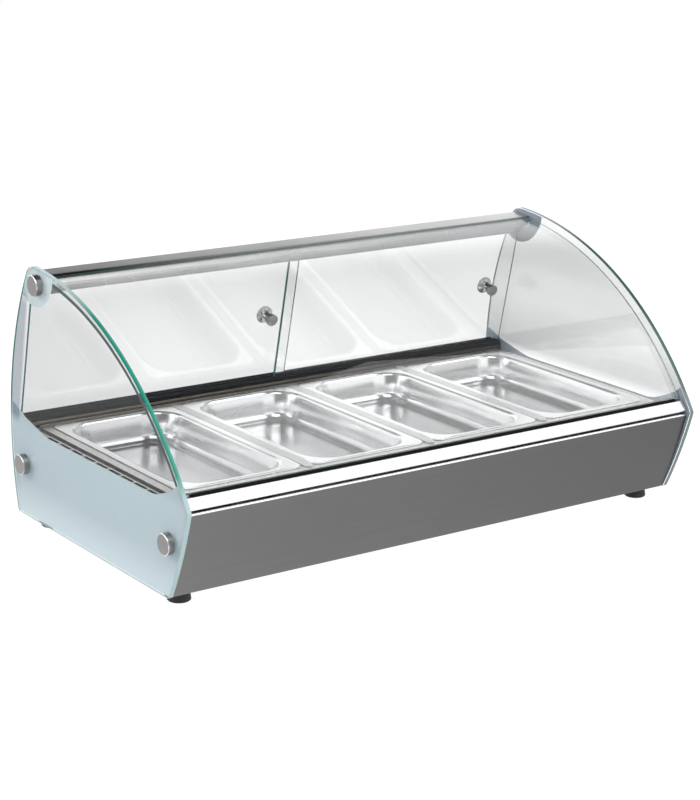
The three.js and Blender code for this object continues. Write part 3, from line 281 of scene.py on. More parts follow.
def metal(
    name, colour, smooth, dull, stretch,
    fineness=900.0, strength=0.12, bump=0.06, far=None, far_ramp=ALONG_CASE,
):
    """A brushed metal, turned to the far colour where far_ramp reaches its stop: painted light and
    shade.
    """
    material = blank_material(name)
    tree = material.node_tree
    settings = {"Stretch": stretch, "Fineness": fineness, "Strength": strength}
    grain = add_node(tree, "ShaderNodeGroup", settings, node_tree=grain_tree).outputs
    base = mix_colours(tree, ramp(tree, *far_ramp), opaque(colour), opaque(far)) if far else colour
    toned = {0: base, "Scale": grain["Tone"]}
    tinted = add_node(tree, "ShaderNodeVectorMath", toned, operation="SCALE").outputs[0]
    shader = add_node(tree, "ShaderNodeBsdfPrincipled", {
        "Base Color": tinted, "Roughness": wiping(tree, smooth, dull),
        "Normal": bumped(tree, bump, grain["Height"]), "Metallic": 1.0,
    })
    end_with(tree, shader)
    return material


print("metal recipe ready")

# %% [markdown]
# The outside metals come first. The front is dull and dark, and the band below the glass
# is nearly a mirror. Their far colours are painted reflection: the front and the band turn
# darker towards the right. On top the rail is painted dark at the left and pale at the
# right, and its front face the other way round, as each end mirrors another part of the
# room. The seal's lip turns from black at the left to grey, which is painted light.

# %% Outside metals
# The front and the band are painted darker towards the right, as their reflections change.
front_steel = metal(
    "front_brushed_steel", (0.18, 0.18, 0.182), 0.34, 0.40, ALONG_X,
    strength=0.16, far=(0.115, 0.114, 0.118),
)
band_steel = metal(
    "band_bright_steel", (0.97, 0.97, 0.97), 0.22, 0.28, ALONG_X,
    strength=0.03, far=(0.80, 0.80, 0.80),
)
# The rail's far colours are painted reflection: its top pales to the right and its front face
# darkens.
rail_metal = metal(
    "rail_anodised", (0.03, 0.03, 0.033), 0.26, 0.32, ALONG_X,
    strength=0.05, far=(0.60, 0.60, 0.61),
)
rail_front = metal(
    "rail_front_face", (0.78, 0.775, 0.755), 0.20, 0.30, (0.02, 1.0, 1.0),
    fineness=500.0, strength=0.05, far=(0.085, 0.10, 0.125),
)
# The seal's lip turns from black at the left to grey: painted light.
seal_lip = metal(
    "seal_lip", (0.02, 0.02, 0.022), 0.35, 0.45, ALONG_X,
    strength=0.05, far=(0.36, 0.36, 0.37), far_ramp=(RIGHTWARDS, -0.34, -0.06),
)
cap_metal = metal(
    "cap_satin_metal", (1.0, 0.965, 0.96), 0.26, 0.32, EVEN, fineness=1400.0, strength=0.05
)
# A darker copy of the cap metal, painted shade for the cap's cylinder.
cap_shaded_side = metal("cap_side_shade", (0.30, 0.295, 0.29), 0.30, 0.38, EVEN, strength=0.1)
knob_metal = metal("knob_cap_metal", (0.32, 0.315, 0.31), 0.28, 0.34, EVEN, strength=0.05)
chrome = metal(
    "knob_chrome", (0.54, 0.535, 0.53), 0.16, 0.22, EVEN, fineness=300.0, strength=0.01, bump=0.0
)
print("outside metals ready")

# %% [markdown]
# The metals round the well follow. A pan's floor lies in the shade of its walls, so its
# steel turns paler from the floor up. The sill is lit only on a narrow strip between two
# shadows, which a helper adds to the finished material.

# %% Metals round the well
PAN_SHADE = (UPWARDS, 0.1040, 0.1150)
SILL_STRIP = (0.1389, 0.1433)
SHADE_BLUR = 0.0003


def base_colour_of(material):
    tree = material.node_tree
    shader = next(node for node in tree.nodes if node.type == "BSDF_PRINCIPLED")
    return tree, shader.inputs["Base Color"]


def shaded_beyond(material, low, high, shade):
    """Turn a material dark above and below a strip, as in the shade of a groove."""
    tree, base = base_colour_of(material)
    above = ramp(tree, UPWARDS, high - SHADE_BLUR, high + SHADE_BLUR)
    below = ramp(tree, DOWNWARDS, -low - SHADE_BLUR, -low + SHADE_BLUR)
    shaded = math_node(tree, "MAXIMUM", above, below)
    tree.links.new(mix_colours(tree, shaded, base.links[0].from_socket, opaque(shade)), base)


deck_steel = metal("deck_satin_steel", (0.62, 0.61, 0.59), 0.24, 0.32, ALONG_Y, strength=0.06)
# A darker metal for the deck's sides: painted shade.
deck_side_shade = metal("deck_side_shade_metal", (0.15, 0.15, 0.16), 0.30, 0.38, EVEN, strength=0.1)
pan_steel = metal(
    "pan_pressed_steel", (0.50, 0.505, 0.515), 0.19, 0.24, EVEN,
    fineness=260.0, strength=0.02, far=(0.88, 0.885, 0.89), far_ramp=PAN_SHADE,
)
bar_steel = metal("bar_satin_steel", (0.60, 0.60, 0.61), 0.26, 0.32, ALONG_Y, strength=0.08)
# The sill is painted from brownish grey at the left to near black at the right, painted light and
# shade along it; the helper below paints its shadows above and below the lit strip.
sill_steel = metal(
    "sill_satin_steel", (0.36, 0.31, 0.25), 0.28, 0.36, ALONG_X,
    strength=0.10, far=(0.06, 0.06, 0.065),
)
shaded_beyond(sill_steel, *SILL_STRIP, (0.02, 0.02, 0.022))
zinc = metal(
    "zinc_sheet", (0.56, 0.58, 0.60), 0.38, 0.52, EVEN, fineness=180.0, strength=0.14
)
heater_steel = metal(
    "heater_sheath", (0.20, 0.17, 0.15), 0.42, 0.55, EVEN, fineness=400.0, strength=0.2
)
print("metals:", len([m for m in bpy.data.materials if m.use_nodes]))

# %% [markdown]
# ## Plastics, rubber and mat
#
# Moulded plastic has a very fine, even texture. Rubber is rougher and takes a dusty
# bloom. The insulation is a felt of mineral fibre, so it gets the coarsest bump. One
# recipe does for all of them, as only the size of the speck and the bump differ.


# %% Moulded recipe
SPECK_GAIN, SPECK_LIFT = 1.25, 0.004


def moulded(name, colour, rough, grit=1500.0, bump=0.12, variation=0.12, shine=0.5):
    material = blank_material(name)
    tree = material.node_tree
    speck = noise(tree, object_place(tree), grit)
    paler = tuple(min(1.0, c * SPECK_GAIN + SPECK_LIFT) for c in colour)
    shader = add_node(tree, "ShaderNodeBsdfPrincipled", {
        "Base Color": mix_colours(tree, speck, opaque(colour), opaque(paler)),
        "Roughness": wiping(tree, rough, rough + variation),
        "Normal": bumped(tree, bump, speck), "Specular IOR Level": shine,
    })
    end_with(tree, shader)
    return material


print("moulded recipe ready")

# %% Plain finishes
control_plastic = moulded("control_plastic", (0.018, 0.018, 0.019), 0.36)
margin_finish = moulded("blasted_margin", (0.88, 0.87, 0.85), 0.45, bump=0.05)
gasket_rubber = moulded("gasket_rubber", (0.010, 0.010, 0.011), 0.6, shine=0.03)
foot_rubber = moulded("foot_rubber", (0.010, 0.010, 0.010), 0.55, grit=700.0, bump=0.3)
white_print = moulded("white_print", (0.80, 0.80, 0.78), 0.5, bump=0.02)
washer_plastic = moulded("washer_plastic", (0.62, 0.64, 0.65), 0.35)
ceramic = moulded("ceramic", (0.80, 0.78, 0.73), 0.25)
lamp_red = moulded("lamp_red", (0.55, 0.035, 0.015), 0.12)
mineral_mat = moulded(
    "mineral_mat", (0.58, 0.52, 0.34), 0.9, grit=260.0, bump=0.9, variation=0.08
)
print("plain finishes ready")

# %% [markdown]
# The door track is an extrusion with fine ribs along its length. They are too fine for a
# mesh of their own at this size, so bands of shade across the section stand for them.

# %% Ribbed track
RIB_PERIOD, RIB_DEPTH, RIB_SLANT = 0.0045, 0.8, 1.7


def ribbed(material, shade):
    tree, base = base_colour_of(material)
    apart = add_node(tree, "ShaderNodeSeparateXYZ", {0: object_place(tree)}).outputs
    slanted = math_node(tree, "MULTIPLY", apart["Z"], RIB_SLANT)
    across = math_node(tree, "ADD", apart["Y"], slanted)
    wave = math_node(tree, "SINE", math_node(tree, "MULTIPLY", across, math.tau / RIB_PERIOD))
    ribs = math_node(tree, "MULTIPLY_ADD", wave, RIB_DEPTH, 0.0, clamp=True)
    tree.links.new(mix_colours(tree, ribs, base.links[0].from_socket, opaque(shade)), base)


track_plastic = moulded("track_plastic", (0.012, 0.0125, 0.016), 0.5, shine=0.03)
ribbed(track_plastic, (0.055, 0.057, 0.065))
print("ribs every", RIB_PERIOD * 1000, "mm")

# %% [markdown]
# ## Glass
#
# The glass is refracting, with a plain transmission. A lamp can't find its way through
# refracting glass, so shadow rays and the soft rays of diffuse light pass straight
# through: a Light Path node mixes in a Transparent shader for those alone. Plain
# transparency for every ray would be quicker, but the thick end panels would lose the
# bend that they give to what lies behind them.
#
# The end panels need up to three more tones, all painted light and shade: a grey strip
# along the leaning back edge, painted shade; a darker foot, painted shade that damps a
# reflection of the pans; and a clearer zone where paint lies behind, painted light so
# that the paint keeps its colour.


# %% Glass recipe
CLEAR_SHADOW = (0.93, 0.95, 0.945, 1.0)
GLASS_IOR, HAZE_SCALE, CLEANER_GAIN = 1.5, 3.0, 1.02
LEAN_AXIS, LEAN_STRIP = (0.0, 0.9826, 0.1854), (0.2255, 0.2275)
FOOT_HEIGHTS = (0.150, 0.225)
PAINT_TOP_HEIGHTS, PATCH_FOOT_HEIGHTS = (0.1374, 0.152), (0.305, 0.335)


def clear_zone(tree):
    """One between the lower paint and the patch at the top, nought in front of either."""
    above_paint = ramp(tree, UPWARDS, *PAINT_TOP_HEIGHTS)
    patch_foot, patch_start = PATCH_FOOT_HEIGHTS
    below_patch = ramp(tree, DOWNWARDS, -patch_start, -patch_foot)
    return math_node(tree, "MULTIPLY", above_paint, below_patch)


def glass(name, tint, behind_paint=None, strip=None, low=None):
    material = blank_material(name)
    tree = material.node_tree
    haze = noise(tree, object_place(tree), HAZE_SCALE)
    cleaner = tuple(min(1.0, c * CLEANER_GAIN) for c in tint)
    colour = mix_colours(tree, haze, opaque(tint), opaque(cleaner))
    # The strip, the foot and the zone behind the paint mix painted shade and light into the tint.
    if strip:
        colour = mix_colours(tree, ramp(tree, LEAN_AXIS, *LEAN_STRIP), colour, opaque(strip))
    if low:
        colour = mix_colours(tree, ramp(tree, UPWARDS, *FOOT_HEIGHTS), opaque(low), colour)
    if behind_paint:
        colour = mix_colours(tree, clear_zone(tree), opaque(behind_paint), colour)
    shader = add_node(tree, "ShaderNodeBsdfPrincipled", {
        "Base Color": colour, "Roughness": 0.0, "IOR": GLASS_IOR, "Transmission Weight": 1.0,
    })
    clear = add_node(tree, "ShaderNodeBsdfTransparent", {"Color": CLEAR_SHADOW})
    path = add_node(tree, "ShaderNodeLightPath").outputs
    passing = math_node(tree, "MAXIMUM", path["Is Shadow Ray"], path["Is Diffuse Ray"])
    inputs = {0: passing, 1: shader.outputs[0], 2: clear.outputs[0]}
    end_with(tree, add_node(tree, "ShaderNodeMixShader", inputs))
    return material


print("glass recipe ready")

# %% Glass of each pane
# The end panels are the same glass, and so are the two doors; their different tints paint the shade
# seen through each pane.
left_glass = glass(
    "left_panel_glass", (0.86, 0.865, 0.87), (0.97, 0.975, 0.98), (0.475, 0.51, 0.555)
)
right_glass = glass(
    "right_panel_glass", (0.79, 0.795, 0.80), (0.95, 0.955, 0.96), low=(0.54, 0.545, 0.55)
)
front_glass = glass("front_glass", (0.935, 0.94, 0.94))
left_door_glass = glass("left_door_glass", (0.895, 0.90, 0.90))
right_door_glass = glass("right_door_glass", (0.93, 0.935, 0.935))
print("glass ready")

# %% [markdown]
# A sheet of float glass is clear through its faces and green along its cut edges, where
# the light has come a long way through the iron in the glass. The ground edge is nearly
# opaque, so it gets a material of its own and not a tint in the glass: deep green at the
# outer arris, lighter at the inner one, and pale where the paint behind it shines through.


# %% Cut edge recipe
EDGE_INNER, EDGE_OUTER = 0.4005, 0.4035
EDGE_ROUGHNESS, EDGE_CLOUDS, EDGE_UNEVEN = 0.16, 40.0, 0.5
EDGE_PAINT_TOP, EDGE_PATCH_FOOT = (0.150, 0.175), (0.325, 0.345)


def cut_edge(name, deep, light, painted=None, far=None):
    material = blank_material(name)
    tree = material.node_tree
    place = object_place(tree)
    apart = add_node(tree, "ShaderNodeSeparateXYZ", {0: place}).outputs
    outward = math_node(tree, "ABSOLUTE", apart["X"])
    across = between(tree, outward, EDGE_INNER, EDGE_OUTER)
    cloud = noise(tree, place, EDGE_CLOUDS)
    uneven = math_node(tree, "MULTIPLY_ADD", cloud, EDGE_UNEVEN, -EDGE_UNEVEN / 2)
    across = math_node(tree, "ADD", across, uneven, clamp=True)
    colour = mix_colours(tree, across, opaque(light), opaque(deep))
    if far:
        colour = mix_colours(tree, ramp(tree, *ALONG_CASE), colour, opaque(far))
    if painted:
        above_paint = between(tree, apart["Z"], *EDGE_PAINT_TOP)
        below_patch = between(tree, apart["Z"], *EDGE_PATCH_FOOT, 1.0, 0.0)
        bare = math_node(tree, "MULTIPLY", above_paint, below_patch)
        colour = mix_colours(tree, bare, opaque(painted), colour)
    inputs = {"Base Color": colour, "Roughness": EDGE_ROUGHNESS}
    end_with(tree, add_node(tree, "ShaderNodeBsdfPrincipled", inputs))
    return material


print("cut edge recipe ready")

# %% Cut edges of each pane
left_edge = cut_edge("left_cut_edge", (0.008, 0.25, 0.19), (0.07, 0.38, 0.29), (0.46, 0.62, 0.63))
# The right panel's edge, the same glass as the left one's, is painted darker and greyer as shade,
# and the front glass's cut edge turns paler towards the right end, painted light.
right_edge = cut_edge(
    "right_cut_edge", (0.045, 0.10, 0.09), (0.08, 0.17, 0.15), (0.16, 0.22, 0.23)
)
front_edge = cut_edge(
    "front_cut_edge", (0.03, 0.09, 0.085), (0.045, 0.11, 0.10), far=(0.30, 0.36, 0.35)
)
door_edge = cut_edge("door_cut_edge", (0.02, 0.14, 0.12), (0.03, 0.15, 0.13))
print("cut edges ready")

# %% [markdown]
# ## Painted glass
#
# The lower zone of each end panel, and a round patch behind the top bolt, are painted on
# the inner face of the glass. The paint could be a mask in the glass material, but its
# edge would blur in the refraction. A film of its own, a thin shell just inside the
# glass, stays crisp. It only needs a plain enamel that clouds very slightly.


# %% Paint material
ENAMEL_CLOUDS, ENAMEL_ROUGHNESS = 6.0, 0.35


def painted(name, low, high):
    material = blank_material(name)
    tree = material.node_tree
    cloud = noise(tree, object_place(tree), ENAMEL_CLOUDS)
    colour = mix_colours(tree, cloud, opaque(low), opaque(high))
    inputs = {"Base Color": colour, "Roughness": ENAMEL_ROUGHNESS}
    end_with(tree, add_node(tree, "ShaderNodeBsdfPrincipled", inputs))
    return material


paint = painted("panel_paint", (0.615, 0.72, 0.79), (0.65, 0.76, 0.83))
# The top patch is a paler paint, and part of its brightness is painted light for the top of the
# panel, which the lamps light less.
patch_paint = painted("patch_paint", (0.84, 0.945, 0.985), (0.87, 0.965, 1.0))
# The inner side of the paint is a darker copy of it, painted shade for the inside of the case.
paint_back = painted("paint_back", (0.26, 0.31, 0.37), (0.30, 0.35, 0.41))
print("paint ready")

# %% [markdown]
# ## Give each node its finish
#
# The names of the solids say what each piece is, so a short table is enough, and no
# piece has to be picked by hand. The first word that fits decides.

# %% Assign finishes
FINISHES = [
    ("left_end_panel", left_glass), ("right_end_panel", right_glass),
    ("front_glass", front_glass), ("knob_cap", knob_metal), ("door_knob", chrome),
    ("thermostat_knob", control_plastic), ("left_door", left_door_glass),
    ("right_door", right_door_glass), ("front_panel", front_steel),
    ("rear_panel", front_steel), ("front_band", band_steel), ("deck_plate", deck_steel),
    ("food_pan", pan_steel), ("divider_bar", bar_steel), ("door_sill", sill_steel),
    ("door_track", track_plastic), ("top_rail", rail_metal), ("glass_gasket", gasket_rubber),
    ("_bolt", cap_metal), ("_washer", washer_plastic), ("side_plate", zinc),
    ("base_tray", zinc), ("well_tray", bar_steel), ("heater_bracket", zinc),
    ("heating_element", heater_steel), ("insulation_mat", mineral_mat),
    ("terminal_block", ceramic), ("thermostat_shaft", cap_metal),
    ("thermostat_body", control_plastic), ("switch_", control_plastic),
    ("pilot_lamp", lamp_red), ("cable_gland", control_plastic), ("_foot", foot_rubber),
]


def finish_of(name):
    return next(material for word, material in FINISHES if word in name)


for name, node in nodes.items():
    node.data.materials.clear()
    node.data.materials.append(finish_of(name))
print("finished nodes:", len(nodes))

# %% [markdown]
# Some solids carry a second finish, face by face. On an end panel every face that
# doesn't look along X is a cut edge. A door is clear on its two large faces, and the
# front glass is clear all along its curve. The deck's low margin is blasted, and its sides
# get a darker metal that paints their shade. The rail's front faces get a metal that paints
# their reflection, and the side plates' flanges under the deck slots get black rubber,
# painted shade that keeps the slots dark. A rule for each solid picks its faces by the way
# they look and lie, which still works when a size changes, as a list of face numbers
# wouldn't. A part of a normal is a cosine: above 0.9, the face looks almost straight along
# that axis.


# %% Rules for the second finish
MARGIN_TOP, GLASS_FOOT_TOP = 0.1345, 0.16


def is_panel_edge(face):
    return abs(face.normal.x) < 0.5


def is_door_edge(face):
    return abs(face.normal.y) < 0.7


def is_front_edge(face):
    flat_foot = face.normal.z < -0.95 and face.center.z < GLASS_FOOT_TOP
    return abs(face.normal.x) > 0.5 or flat_foot or face.normal.y > 0.99


def is_deck_margin(face):
    return face.normal.z > 0.9 and face.center.z < MARGIN_TOP


def is_deck_side(face):
    return abs(face.normal.z) < 0.5


# The flanges under the deck slots get black rubber: painted shade that keeps the slots dark.
def is_slot_shade_flange(face):
    return face.normal.z > 0.9


# The rail's front faces take their own metal, which paints their reflection.
def is_rail_front(face):
    return face.normal.y < -0.6 or (face.normal.z < -0.3 and face.normal.y < 0.2)


print("rules ready")

# %% Second finish on chosen faces
SECOND_FINISHES = [
    ("left_end_panel", left_edge, is_panel_edge), ("right_end_panel", right_edge, is_panel_edge),
    ("left_door", door_edge, is_door_edge), ("right_door", door_edge, is_door_edge),
    ("front_glass", front_edge, is_front_edge), ("deck_plate", deck_side_shade, is_deck_side),
    ("deck_plate", margin_finish, is_deck_margin), ("top_rail", rail_front, is_rail_front),
    ("left_side_plate", foot_rubber, is_slot_shade_flange), ("right_side_plate", foot_rubber, is_slot_shade_flange),
]


def finish_faces(mesh, material, rule):
    mesh.materials.append(material)
    chosen = [face for face in mesh.polygons if rule(face)]
    for face in chosen:
        face.material_index = len(mesh.materials) - 1
    return len(chosen)


for name, material, rule in SECOND_FINISHES:
    print(name, "faces with", material.name, finish_faces(nodes[name].data, material, rule))

# %% [markdown]
# ## Soften the machined edges
#
# The solids are faceted and their corners are sharp. A weld joins the facets, a small
# bevel catches the light along each real edge, and weighted normals keep the flat faces
# flat while the curves shade smoothly. The bevels could be cut into the meshes, but
# modifiers leave the solids themselves as they are.


# %% Weld, bevel and smooth
BEVEL_ANGLE, BEVEL_STEPS = math.radians(34), 2
WELD_REACH, SMALL_BEVEL, MESH_BEVEL = 0.00001, 0.0002, 0.00005


def soften(piece, width, weld=False):
    mesh = piece.data
    if "custom_normal" in mesh.attributes:
        mesh.attributes.remove(mesh.attributes["custom_normal"])
    mesh.shade_smooth()
    if weld:
        piece.modifiers.new("weld", "WELD").merge_threshold = WELD_REACH
    bevel = piece.modifiers.new("bevel", "BEVEL")
    bevel.width, bevel.segments = width, BEVEL_STEPS
    bevel.limit_method, bevel.angle_limit = "ANGLE", BEVEL_ANGLE
    weighted = piece.modifiers.new("weighted", "WEIGHTED_NORMAL")
    weighted.mode = "FACE_AREA_WITH_ANGLE"
    weighted.keep_sharp = True


BEVELS = {
    "end_panel": 0.0007, "front_glass": 0.0005, "left_door": 0.0005, "right_door": 0.0005,
    "front_panel": 0.0005, "front_band": 0.0006, "deck_plate": 0.0004, "top_rail": 0.0003,
    "divider_bar": 0.0005, "door_sill": 0.0004,
}
for name, node in nodes.items():
    width = next((w for word, w in BEVELS.items() if word in name), SMALL_BEVEL)
    soften(node, width, weld=True)
print("softened:", len(nodes))

# %% [markdown]
# ## Building finer pieces
#
# Some pieces show their curves up close, so they get a mesh of their own, with the same
# sizes as the solid that they stand for. Primitives with modifiers would do for a cap,
# but not for a pan, so all of them are stacks of rings: each ring is one outline, and
# faces join it to the next. The first helper turns points and faces into a piece that
# rides on its body and takes the place of its solid.


# %% Mesh helpers
def piece_from(name, points, faces, material, body, stands_for=()):
    mesh = bpy.data.meshes.new(name)
    mesh.from_pydata([tuple(p) for p in points], [], faces)
    shape = bmesh.new()
    shape.from_mesh(mesh)
    bmesh.ops.recalc_face_normals(shape, faces=shape.faces)
    shape.to_mesh(mesh)
    shape.free()
    mesh.materials.append(material)
    piece = bpy.data.objects.new(name, mesh)
    scene.collection.objects.link(piece)
    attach(piece, body)
    if stands_for:
        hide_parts(*stands_for)
    return piece


def ring_faces(rings, around):
    """Faces between stacked rings of points, with a cap on the first and the last."""
    faces = []
    for i in range(rings - 1):
        for k in range(around):
            n = (k + 1) % around
            a, b = i * around, (i + 1) * around
            faces.append((a + k, a + n, b + n, b + k))
    faces.append(tuple(range(around)))
    faces.append(tuple(range((rings - 1) * around, rings * around)))
    return faces


def prism(outline, x0, x1):
    points = [(x, y, z) for x in (x0, x1) for y, z in outline]
    return points, ring_faces(2, len(outline))


print("mesh helpers ready")

# %% [markdown]
# ## Food pans
#
# A pan is deep-drawn from one disc of steel: a flat rim with a rolled edge, a rounded
# lip, walls with a little taper and a wide radius into the floor. A bevelled box can't
# change its corner radius on the way down. So all of it is one stack of rounded
# rectangles, and the corners flow from the rim to the floor as pressed metal does.

# %% Pan sizes and rings
PAN_RIM = (0.088, 0.1625, 0.014)
PAN_OPENING = (0.075, 0.150, 0.038)
PAN_TOP, PAN_FLOOR, PAN_WALL = 0.1410, 0.1010, 0.0012
PAN_TAPER, PAN_BEND, PAN_LIP = 0.004, 0.013, 0.005
PANS, PAN_ROW_Y, PAN_PITCH = 4, 0.0035, 0.190
CORNER_STEPS, BEND_STEPS, LIP_STEPS, WALL_STEPS = 14, 10, 6, 7
OUTER_BEND_STEPS, OUTER_LIP_STEPS, ROLL_STEPS = 4, 3, 4
WALL_TILT, WALL_EASE = math.radians(18), 0.7
QUARTER = math.pi / 2


def rounded_box(half_x, half_y, radius, steps):
    outline = []
    for sx, sy, start in ((1, 1, 0), (-1, 1, 90), (-1, -1, 180), (1, -1, 270)):
        for k in range(steps + 1):
            angle = math.radians(start + 90 * k / steps)
            outline.append((
                sx * (half_x - radius) + radius * math.cos(angle),
                sy * (half_y - radius) + radius * math.sin(angle),
            ))
    return outline


def pan_ring(grow, z, base=PAN_OPENING):
    half_x, half_y, radius = base
    outline = rounded_box(half_x + grow, half_y + grow, radius + grow, CORNER_STEPS)
    return [(x, y, z) for x, y in outline]


print("pan opening:", [round(2000 * v) for v in PAN_OPENING[:2]], "mm")

# %% [markdown]
# The inside runs down from the rim: a lip arc that stops short of upright, a wall that
# eases from the lip's slope into its own taper, and the bend into the floor. Without the
# easing, a hard line would show all round the wall, which pressed steel never has.


# %% Inside of a pan
def inner_lip(turn):
    return PAN_LIP * (1 - math.cos(turn)), PAN_TOP - PAN_LIP * (1 - math.sin(turn))


def pan_inside():
    rings = []
    for k in range(LIP_STEPS + 1):
        rings.append(pan_ring(*inner_lip(QUARTER - (QUARTER - WALL_TILT) * k / LIP_STEPS)))
    lip_grow, lip_z = inner_lip(WALL_TILT)
    foot_z = PAN_FLOOR + PAN_WALL + PAN_BEND
    for k in range(1, WALL_STEPS):
        t = k / WALL_STEPS
        eased = (1 + WALL_EASE) * t - WALL_EASE * t * t
        grow = lip_grow + (-PAN_TAPER - lip_grow) * eased
        rings.append(pan_ring(grow, lip_z + (foot_z - lip_z) * t))
    for k in range(BEND_STEPS + 1):
        turn = QUARTER * (1 - k / BEND_STEPS)
        grow = -PAN_TAPER - PAN_BEND + PAN_BEND * math.sin(turn)
        rings.append(pan_ring(grow, PAN_FLOOR + PAN_WALL + PAN_BEND * (1 - math.cos(turn))))
    return rings


print("rings inside:", len(pan_inside()))

# %% [markdown]
# The outside is the same shape one sheet thicker, and hidden below the deck, so it takes
# fewer rings. The rim's edge is rolled over by half a turn.


# %% Outside and rim of a pan
def pan_outside():
    rings = []
    bend = PAN_BEND + PAN_WALL
    for k in range(OUTER_BEND_STEPS + 1):
        turn = QUARTER * k / OUTER_BEND_STEPS
        grow = -PAN_TAPER - PAN_BEND + bend * math.sin(turn)
        rings.append(pan_ring(grow, PAN_FLOOR + bend * (1 - math.cos(turn))))
    lip = PAN_LIP - PAN_WALL
    for k in range(OUTER_LIP_STEPS + 1):
        turn = QUARTER * k / OUTER_LIP_STEPS
        grow = PAN_LIP - lip * math.cos(turn)
        rings.append(pan_ring(grow, PAN_TOP - PAN_LIP + lip * math.sin(turn)))
    return rings


def pan_rim():
    roll = PAN_WALL / 2
    rings = []
    for k in range(ROLL_STEPS + 1):
        turn = math.pi * k / ROLL_STEPS
        out = -roll * (1 - math.sin(turn))
        rings.append(pan_ring(out, PAN_TOP - roll - roll * math.cos(turn), PAN_RIM))
    return rings


print("rings outside and on the rim:", len(pan_outside()), len(pan_rim()))

# %% Build the pans
pan_rings = pan_outside() + pan_rim() + pan_inside()
pan_faces = ring_faces(len(pan_rings), len(pan_rings[0]))
for i in range(PANS):
    centre_x = (i - (PANS - 1) / 2) * PAN_PITCH
    points = [(x + centre_x, y + PAN_ROW_Y, z) for ring in pan_rings for x, y, z in ring]
    pan = piece_from(
        f"pan_{i + 1}_vessel", points, pan_faces, pan_steel,
        f"pan_{i + 1}", (f"food_pan_{i + 1}",),
    )
    soften(pan, MESH_BEVEL)
print("pans:", PANS, "rings each:", len(pan_rings))

# %% [markdown]
# ## Bolt caps
#
# Each end panel hangs on three turned caps. A cap is one pass on a lathe: a shank, a
# flat under-face, a cylinder and a face with a rounded rim. A bevelled cylinder would
# come close, but the lathe gives the rim its true radius. The face is satin; the cylinder
# gets a darker copy of the same metal, painted shade on the side that turns from the light.


# %% Lathe
TURN_STEPS = 64


def lathe(profile, place, axis):
    """Rings round an axis through place, from (radius, distance) pairs, closed at both ends."""
    axis = Vector(axis).normalized()
    first = axis.orthogonal().normalized()
    second = axis.cross(first)
    points = []
    for radius, distance in profile:
        for k in range(TURN_STEPS):
            angle = math.tau * k / TURN_STEPS
            spoke = math.cos(angle) * first + math.sin(angle) * second
            points.append(Vector(place) + axis * distance + spoke * radius)
    return points, ring_faces(len(profile), TURN_STEPS)


print("lathe ready")

# %% Turned caps
CAP_RADIUS, CAP_ROUND, CAP_ROUND_STEPS = 0.0140, 0.0017, 8
CAP_FACE, CAP_BACK, SHANK_END = 0.4143, 0.4053, 0.3880
SHANK_RADIUS, FACE_CENTRE = 0.0025, 0.004

cap_profile = [(SHANK_RADIUS, SHANK_END), (SHANK_RADIUS, CAP_BACK), (CAP_RADIUS, CAP_BACK)]
for k in range(CAP_ROUND_STEPS + 1):
    turn = QUARTER * k / CAP_ROUND_STEPS
    cap_profile.append((
        CAP_RADIUS - CAP_ROUND * (1 - math.cos(turn)), CAP_FACE - CAP_ROUND * (1 - math.sin(turn))
    ))
cap_profile.append((FACE_CENTRE, CAP_FACE))


def is_cylinder(face):
    return abs(face.normal.x) < 0.3


bolts = [name for name in nodes if name.endswith("_bolt")]
for name in bolts:
    spots = [vertex.co for vertex in nodes[name].data.vertices]
    y = (min(v.y for v in spots) + max(v.y for v in spots)) / 2
    z = (min(v.z for v in spots) + max(v.z for v in spots)) / 2
    sign = -1 if name.startswith("left") else 1
    points, faces = lathe(cap_profile, (0.0, y, z), (sign, 0, 0))
    cap = piece_from(f"{name}_turned", points, faces, cap_metal, "case", (name,))
    # The cylinder takes the darker metal: painted shade.
    finish_faces(cap.data, cap_shaded_side, is_cylinder)
    soften(cap, MESH_BEVEL)
print("caps:", len(bolts), "rings:", len(cap_profile))

# %% [markdown]
# ## Dial marks
#
# The operator's side is plain apart from the dial: ten short printed strokes over its
# 270 degrees of travel and a pointer on its face, so the set heat can be read. A mask in
# the panel's material would need the dial's place written a second time. A thin raised
# film is simpler, and the pointer can ride on the dial and turn with it.


# %% Printed strokes
DIAL_CENTRE = (-0.245, 0.078)
FILM_THICKNESS = 0.00015


def printed_strokes(spans, surface):
    """Flat strokes round the dial, from (angle, near, far, width), on a plane facing back."""
    points, faces = [], []
    for angle, near, far, width in spans:
        out = Vector((math.sin(angle), 0.0, math.cos(angle)))
        aside = Vector((math.cos(angle), 0.0, -math.sin(angle))) * width / 2
        corners = (out * near - aside, out * near + aside, out * far + aside, out * far - aside)
        first = len(points)
        for y in (surface - FILM_THICKNESS, surface + FILM_THICKNESS):
            points += [(DIAL_CENTRE[0] + c.x, y, DIAL_CENTRE[1] + c.z) for c in corners]
        faces += [tuple(first + i for i in face) for face in ring_faces(2, 4)]
    return points, faces


print("dial centre:", DIAL_CENTRE)

# %% Dial scale and pointer
DIAL_TRAVEL, DIAL_STROKES = 270, 10
REAR_FACE, DIAL_FACE = 0.2050, 0.2226
SCALE_NEAR, SHORT_FAR, LONG_FAR, STROKE_WIDTH = 0.0220, 0.0245, 0.0260, 0.0009
POINTER = (0.0, 0.0050, 0.0130, 0.0013)

strokes = []
for k in range(DIAL_STROKES):
    angle = math.radians(DIAL_TRAVEL * k / (DIAL_STROKES - 1))
    strokes.append((angle, SCALE_NEAR, LONG_FAR if k % 3 == 0 else SHORT_FAR, STROKE_WIDTH))
points, faces = printed_strokes(strokes, REAR_FACE)
piece_from("dial_scale", points, faces, white_print, "case")
points, faces = printed_strokes([POINTER], DIAL_FACE)
piece_from("dial_pointer", points, faces, white_print, "dial")
print("dial strokes:", len(strokes))

